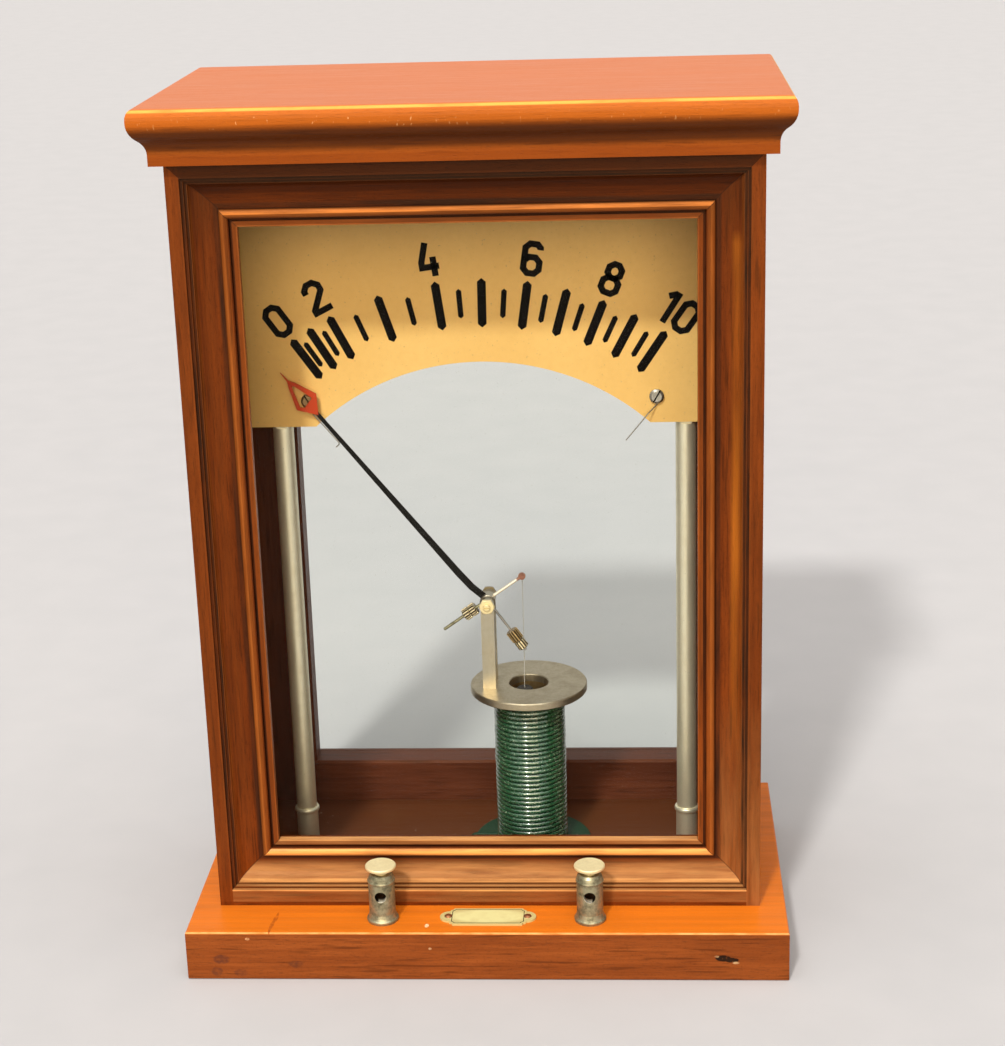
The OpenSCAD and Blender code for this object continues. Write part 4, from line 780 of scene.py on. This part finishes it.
def winding_mesh(name):
    """One layer of round wire, wound as a slightly uneven helix over a plain core."""
    low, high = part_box("coil_winding")
    centre = centre_of("coil_winding")
    outer = high.x - centre.x
    turns = 33
    around = 60
    wire = (high.z - low.z) / (turns + 1) / 2
    mesh = bpy.data.meshes.new(name)
    bm = bmesh.new()
    slopes = [math.radians(a) for a in (-90, -62, -35, -12, 12, 35, 62, 90)]
    rows = []
    for i in range(turns * around + 1):
        turn = 2 * math.pi * i / around
        drift = 0.05 * MM * math.sin(turn * 0.173) + 0.03 * MM * math.sin(turn * 0.71)
        radius = outer - wire - 0.09 * MM + drift
        z = low.z + wire + 2 * wire * i / around
        rows.append([bm.verts.new((centre.x + (radius + wire * math.cos(s)) * math.cos(turn),
                                   centre.y + (radius + wire * math.cos(s)) * math.sin(turn),
                                   z + 0.97 * wire * math.sin(s))) for s in slopes])
    for row, following in zip(rows, rows[1:]):
        for k in range(len(slopes) - 1):
            bm.faces.new((row[k], following[k], following[k + 1], row[k + 1]))
    for ends in (rows[0], list(reversed(rows[-1]))):
        bm.faces.new(ends)
    core = outer - wire - 0.2 * MM
    rings = [[bm.verts.new((centre.x + core * math.cos(2 * math.pi * i / around),
                            centre.y + core * math.sin(2 * math.pi * i / around), z))
              for i in range(around)] for z in (low.z, high.z)]
    for i in range(around):
        j = (i + 1) % around
        bm.faces.new((rings[0][i], rings[0][j], rings[1][j], rings[1][i]))
    for face in bm.faces:
        face.smooth = len(face.verts) == 4
    bmesh.ops.recalc_face_normals(bm, faces=bm.faces)
    bm.to_mesh(mesh)
    bm.free()
    return mesh


def knurled_mesh(name, node, teeth, cut):
    """A round nut with eased ends and straight teeth round its rim, about its sliding axis."""
    along, across = slide_axis(node + "_slide")
    centre = centre_of(node)
    points = [corner.co - centre for corner in nodes[node].data.vertices]
    reach = [point.dot(along) for point in points]
    radii = [(point - along * t).length for point, t in zip(points, reach)]
    outer, bore, half = max(radii), min(radii), max(reach)
    ease = 0.35 * MM
    # Each row of points: radius, place along the axis, and how deep the teeth are cut there
    rows = [(bore, -half, 0), (outer - ease, -half, 0), (outer, ease - half, cut),
            (outer, half - ease, cut), (outer - ease, half, 0), (bore, half, 0)]
    # Where one tooth's four points stand, in degrees of its pitch, and whether each is in the valley
    pitch = ((-30, True), (30, False), (150, False), (210, True))
    around = [((2 * math.pi * tooth + math.radians(place)) / teeth, low)
              for tooth in range(teeth) for place, low in pitch]
    mesh = bpy.data.meshes.new(name)
    bm = bmesh.new()
    rings = []
    for radius, t, depth in rows:
        ring = []
        for angle, low in around:
            r = radius - (depth if low else 0)
            ring.append(bm.verts.new(centre + along * t + across * (r * math.sin(angle))
                                     + Vector((0, r * math.cos(angle), 0))))
        rings.append(ring)
    for ring, following in zip(rings, rings[1:] + rings[:1]):
        for i in range(len(ring)):
            j = (i + 1) % len(ring)
            bm.faces.new((ring[i], ring[j], following[j], following[i]))
    bmesh.ops.recalc_face_normals(bm, faces=bm.faces)
    bm.to_mesh(mesh)
    bm.free()
    return mesh


for node in ("balance_nut_inner", "balance_nut_outer", "tail_weight"):
    name = "knurled_" + node
    mesh = knurled_mesh(name, node, KNURLS[node][2], TOOTH_DEPTH)
    nut = add_piece(name, mesh, nut_looks[node], node)
    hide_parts(node)

turns_piece = add_piece("winding_turns", winding_mesh("winding_turns"), winding_look(), "case")
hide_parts("coil_winding")


# The dial: raised black bars and numerals round a centre just above the pivot, sizes in millimetres.
# A bar is given by its inner radius, outer radius and width.
DIAL_CENTRE_Z = 134.3
BAR_THICKNESS = 0.04
dial_face_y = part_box("dial_plate")[0].y
BAR_ANGLES = [-34.7, -33.1, -31.1, -29.1, -26.9, -22.6, -17.7, -12.7, -7.45, -3.5, 0.6,
              4.6, 8.55, 12.0, 15.45, 18.7, 22.0, 25.0, 28.0, 31.2, 33.9]
MAJOR_BAR = (113.0, 133.0, 3.5)
MINOR_BAR = (117.0, 129.0, 2.2)
NUMERAL_RADIUS = 142.0
NUMERAL_HEIGHT = 12.7
NUMERAL_WIDTH = 7.6
NUMERAL_SCALE = 1.08
PEN = 2.35


def octagon(x0, x1, y0, y1, chamfer):
    """Closed pen line with cut corners."""
    return [(x0 + chamfer, y0), (x1 - chamfer, y0), (x1, y0 + chamfer), (x1, y1 - chamfer),
            (x1 - chamfer, y1), (x0 + chamfer, y1), (x0, y1 - chamfer), (x0, y0 + chamfer)]


# Each numeral: its pen lines in a box of NUMERAL_WIDTH by NUMERAL_HEIGHT, and whether each one closes
NUMERALS = {
    "0": [(octagon(0.9, 6.7, 0.9, 11.8, 1.7), True)],
    "1": [([(3.6, 12.7), (3.6, 0.0)], False), ([(0.6, 9.6), (3.1, 12.0)], False)],
    "2": [([(0.9, 8.6), (0.9, 10.1), (2.6, 11.8), (5.0, 11.8), (6.7, 10.1), (6.7, 8.0), (0.9, 2.0),
            (0.9, 0.9), (7.6, 0.9)], False)],
    "4": [([(3.5, 12.7), (1.1, 5.5), (1.1, 3.6), (7.4, 3.6)], False), ([(5.5, 7.2), (5.5, 0.0)], False)],
    "6": [([(6.4, 9.8), (6.4, 10.6), (5.2, 11.8), (2.5, 11.8), (0.9, 10.2), (0.9, 5.5)], False),
          (octagon(0.9, 6.6, 0.9, 6.9, 1.6), True)],
    "8": [(octagon(1.4, 6.2, 6.6, 11.8, 1.5), True), (octagon(0.9, 6.7, 0.9, 6.6, 1.5), True)],
}
# Each numeral on the dial and its angle, in degrees clockwise from upright
NUMERAL_PLACES = [("0", -34.65), ("2", -27.14), ("4", -7.84), ("6", 8.80), ("8", 21.9),
                  ("1", 32.55), ("0", 35.35)]


def turned(points, angle):
    """Points given as (across, radius) at upright, turned clockwise round the dial's centre."""
    a = math.radians(angle)
    return [(u * math.cos(a) + r * math.sin(a), r * math.cos(a) - u * math.sin(a)) for u, r in points]


def on_dial(u, v, height):
    """A point of the dial's face, from millimetres right of and above its centre."""
    return Vector((u * MM, dial_face_y - height * MM, (DIAL_CENTRE_Z + v) * MM))


def bar(inner, outer, width):
    """The outline of an upright bar with pointed ends."""
    tip = width * 0.42
    half = width / 2
    return [(-half, inner + tip), (0, inner), (half, inner + tip), (half, outer - tip), (0, outer),
            (-half, outer - tip)]


bars = [turned(bar(*(MINOR_BAR if i % 2 else MAJOR_BAR)), angle) for i, angle in enumerate(BAR_ANGLES)]
figures = []
for numeral, angle in NUMERAL_PLACES:
    for points, closed in NUMERALS[numeral]:
        for quad in stroke(points, PEN, closed):
            centred = [(NUMERAL_SCALE * (x - NUMERAL_WIDTH / 2),
                        NUMERAL_SCALE * (y - NUMERAL_HEIGHT / 2) + NUMERAL_RADIUS) for x, y in quad]
            figures.append(turned(centred, angle))
add_piece("dial_bars", prism_mesh("dial_bars", bars, on_dial, BAR_THICKNESS), mark_black, "case")
add_piece("dial_numerals", prism_mesh("dial_numerals", figures, on_dial, BAR_THICKNESS), mark_black,
          "case")


# The unit plate's engraved border, which follows its hollowed corners
plate_low, plate_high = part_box("unit_plate")
plate_middle = centre_of("unit_plate")
LINE = 0.28
LINE_HEIGHT = 0.02
BORDER_INSET = 0.9
EAR_RADIUS = 4.0
CORNER_RADIUS = 1.4


def on_plate(u, v, height):
    """A point of the unit plate's face, from millimetres right of and behind its middle."""
    return Vector((plate_middle.x + u * MM, plate_middle.y + v * MM, plate_high.z + height * MM))


def hollow_corners(half_width, half_depth, inset, radius):
    """Closed pen line inside a plate with hollow corners of that radius."""
    reach = radius + inset
    start = math.asin(inset / reach)
    steps = [start + (math.pi / 2 - 2 * start) * i / 4 for i in range(5)]
    points = []
    for sx, sy in ((1, 1), (-1, 1), (-1, -1), (1, -1)):
        arc = [(sx * (half_width - reach * math.sin(a)), sy * (half_depth - reach * math.cos(a)))
               for a in steps]
        points += arc if sx * sy > 0 else arc[::-1]
    return points


border_w = (plate_high.x - plate_low.x) / MM / 2 - EAR_RADIUS
border_d = (plate_high.y - plate_low.y) / MM / 2
border = stroke(hollow_corners(border_w, border_d, BORDER_INSET, CORNER_RADIUS), LINE, closed=True)
add_piece("unit_plate_border", prism_mesh("unit_plate_border", border, on_plate, LINE_HEIGHT), mark_black,
          "case")


# Floor, lamps and world

FLOOR_PALE = (0.52, 0.52, 0.54)
FLOOR_MOTTLE = (0.48, 0.485, 0.505)
FLOOR_BOUNCE = (0.13, 0.13, 0.13)


def make_floor():
    """A large plain floor. Light bounces from it less strongly than it shows."""
    mesh = bpy.data.meshes.new("floor")
    bm = bmesh.new()
    bmesh.ops.create_grid(bm, x_segments=1, y_segments=1, size=12)
    bm.to_mesh(mesh)
    bm.free()
    floor = bpy.data.objects.new("floor", mesh)
    bpy.context.scene.collection.objects.link(floor)
    g = Graph("floor_paper")
    mottle = g.span(g.noise((30, 30, 30), detail=4), 0.3, 0.7, 0.0, 0.5)
    colour = g.mix(g.shown(), FLOOR_BOUNCE, g.mix(mottle, FLOOR_PALE, FLOOR_MOTTLE))
    mesh.materials.append(g.surface({"Base Color": colour, "Roughness": 0.9, "Specular IOR Level": 0.1}))


def make_sun(name, elevation, azimuth, strength, angle, colour):
    """A lamp far away in one direction. Azimuth 0 is the front, and less than 0 the left."""
    lamp = bpy.data.lights.new(name, "SUN")
    lamp.energy = strength
    lamp.angle = math.radians(angle)
    lamp.color = colour
    sun = bpy.data.objects.new(name, lamp)
    bpy.context.scene.collection.objects.link(sun)
    e, a = math.radians(elevation), math.radians(azimuth)
    towards = Vector((math.sin(a) * math.cos(e), -math.cos(a) * math.cos(e), math.sin(e)))
    sun.rotation_mode = "QUATERNION"
    sun.rotation_quaternion = towards.to_track_quat("Z", "Y")


def make_world(above, below, shown):
    """A sky that lights the part more from above, and a pale surround that camera and gloss see."""
    world = bpy.data.worlds.new("studio")
    bpy.context.scene.world = world
    g = Graph("studio", world)
    direction = g.node("ShaderNodeTexCoord").outputs["Generated"]
    up = g.node("ShaderNodeSeparateXYZ", {0: direction}).outputs["Z"]
    light = {"Color": (1.0, 0.98, 0.95, 1), "Strength": g.span(up, -0.1, 0.4, below, above)}
    lit = g.node("ShaderNodeBackground", light).outputs[0]
    pale = g.node("ShaderNodeBackground", {"Color": (*shown, 1), "Strength": 1.0}).outputs[0]
    sky = g.node("ShaderNodeMixShader", {0: g.shown(), 1: lit, 2: pale})
    g.node("ShaderNodeOutputWorld", {"Surface": sky.outputs[0]})


make_floor()
make_sun("key", elevation=44, azimuth=-15.6, strength=2.1, angle=5, colour=(1.0, 0.96, 0.90))
make_sun("ceiling", elevation=83, azimuth=-10, strength=2.1, angle=60, colour=(1.0, 0.97, 0.93))
make_sun("room", elevation=13, azimuth=2, strength=2.4, angle=50, colour=(1.0, 0.78, 0.53))
make_world(above=0.22, below=0.08, shown=(0.73, 0.70, 0.68))


# Camera

camera_data = bpy.data.cameras.new("camera")
camera_data.lens = 74.117
camera_data.sensor_width = 36.0
camera_data.shift_x = 0.0014
camera_data.shift_y = 0.0006
camera = bpy.data.objects.new("camera", camera_data)
bpy.context.scene.collection.objects.link(camera)
camera.location = (0.06123, -0.83060, 0.44164)
camera.rotation_euler = [math.radians(a) for a in (71.723, 1.678, 3.209)]
bpy.context.scene.camera = camera

bpy.context.scene.view_settings.view_transform = "Standard"
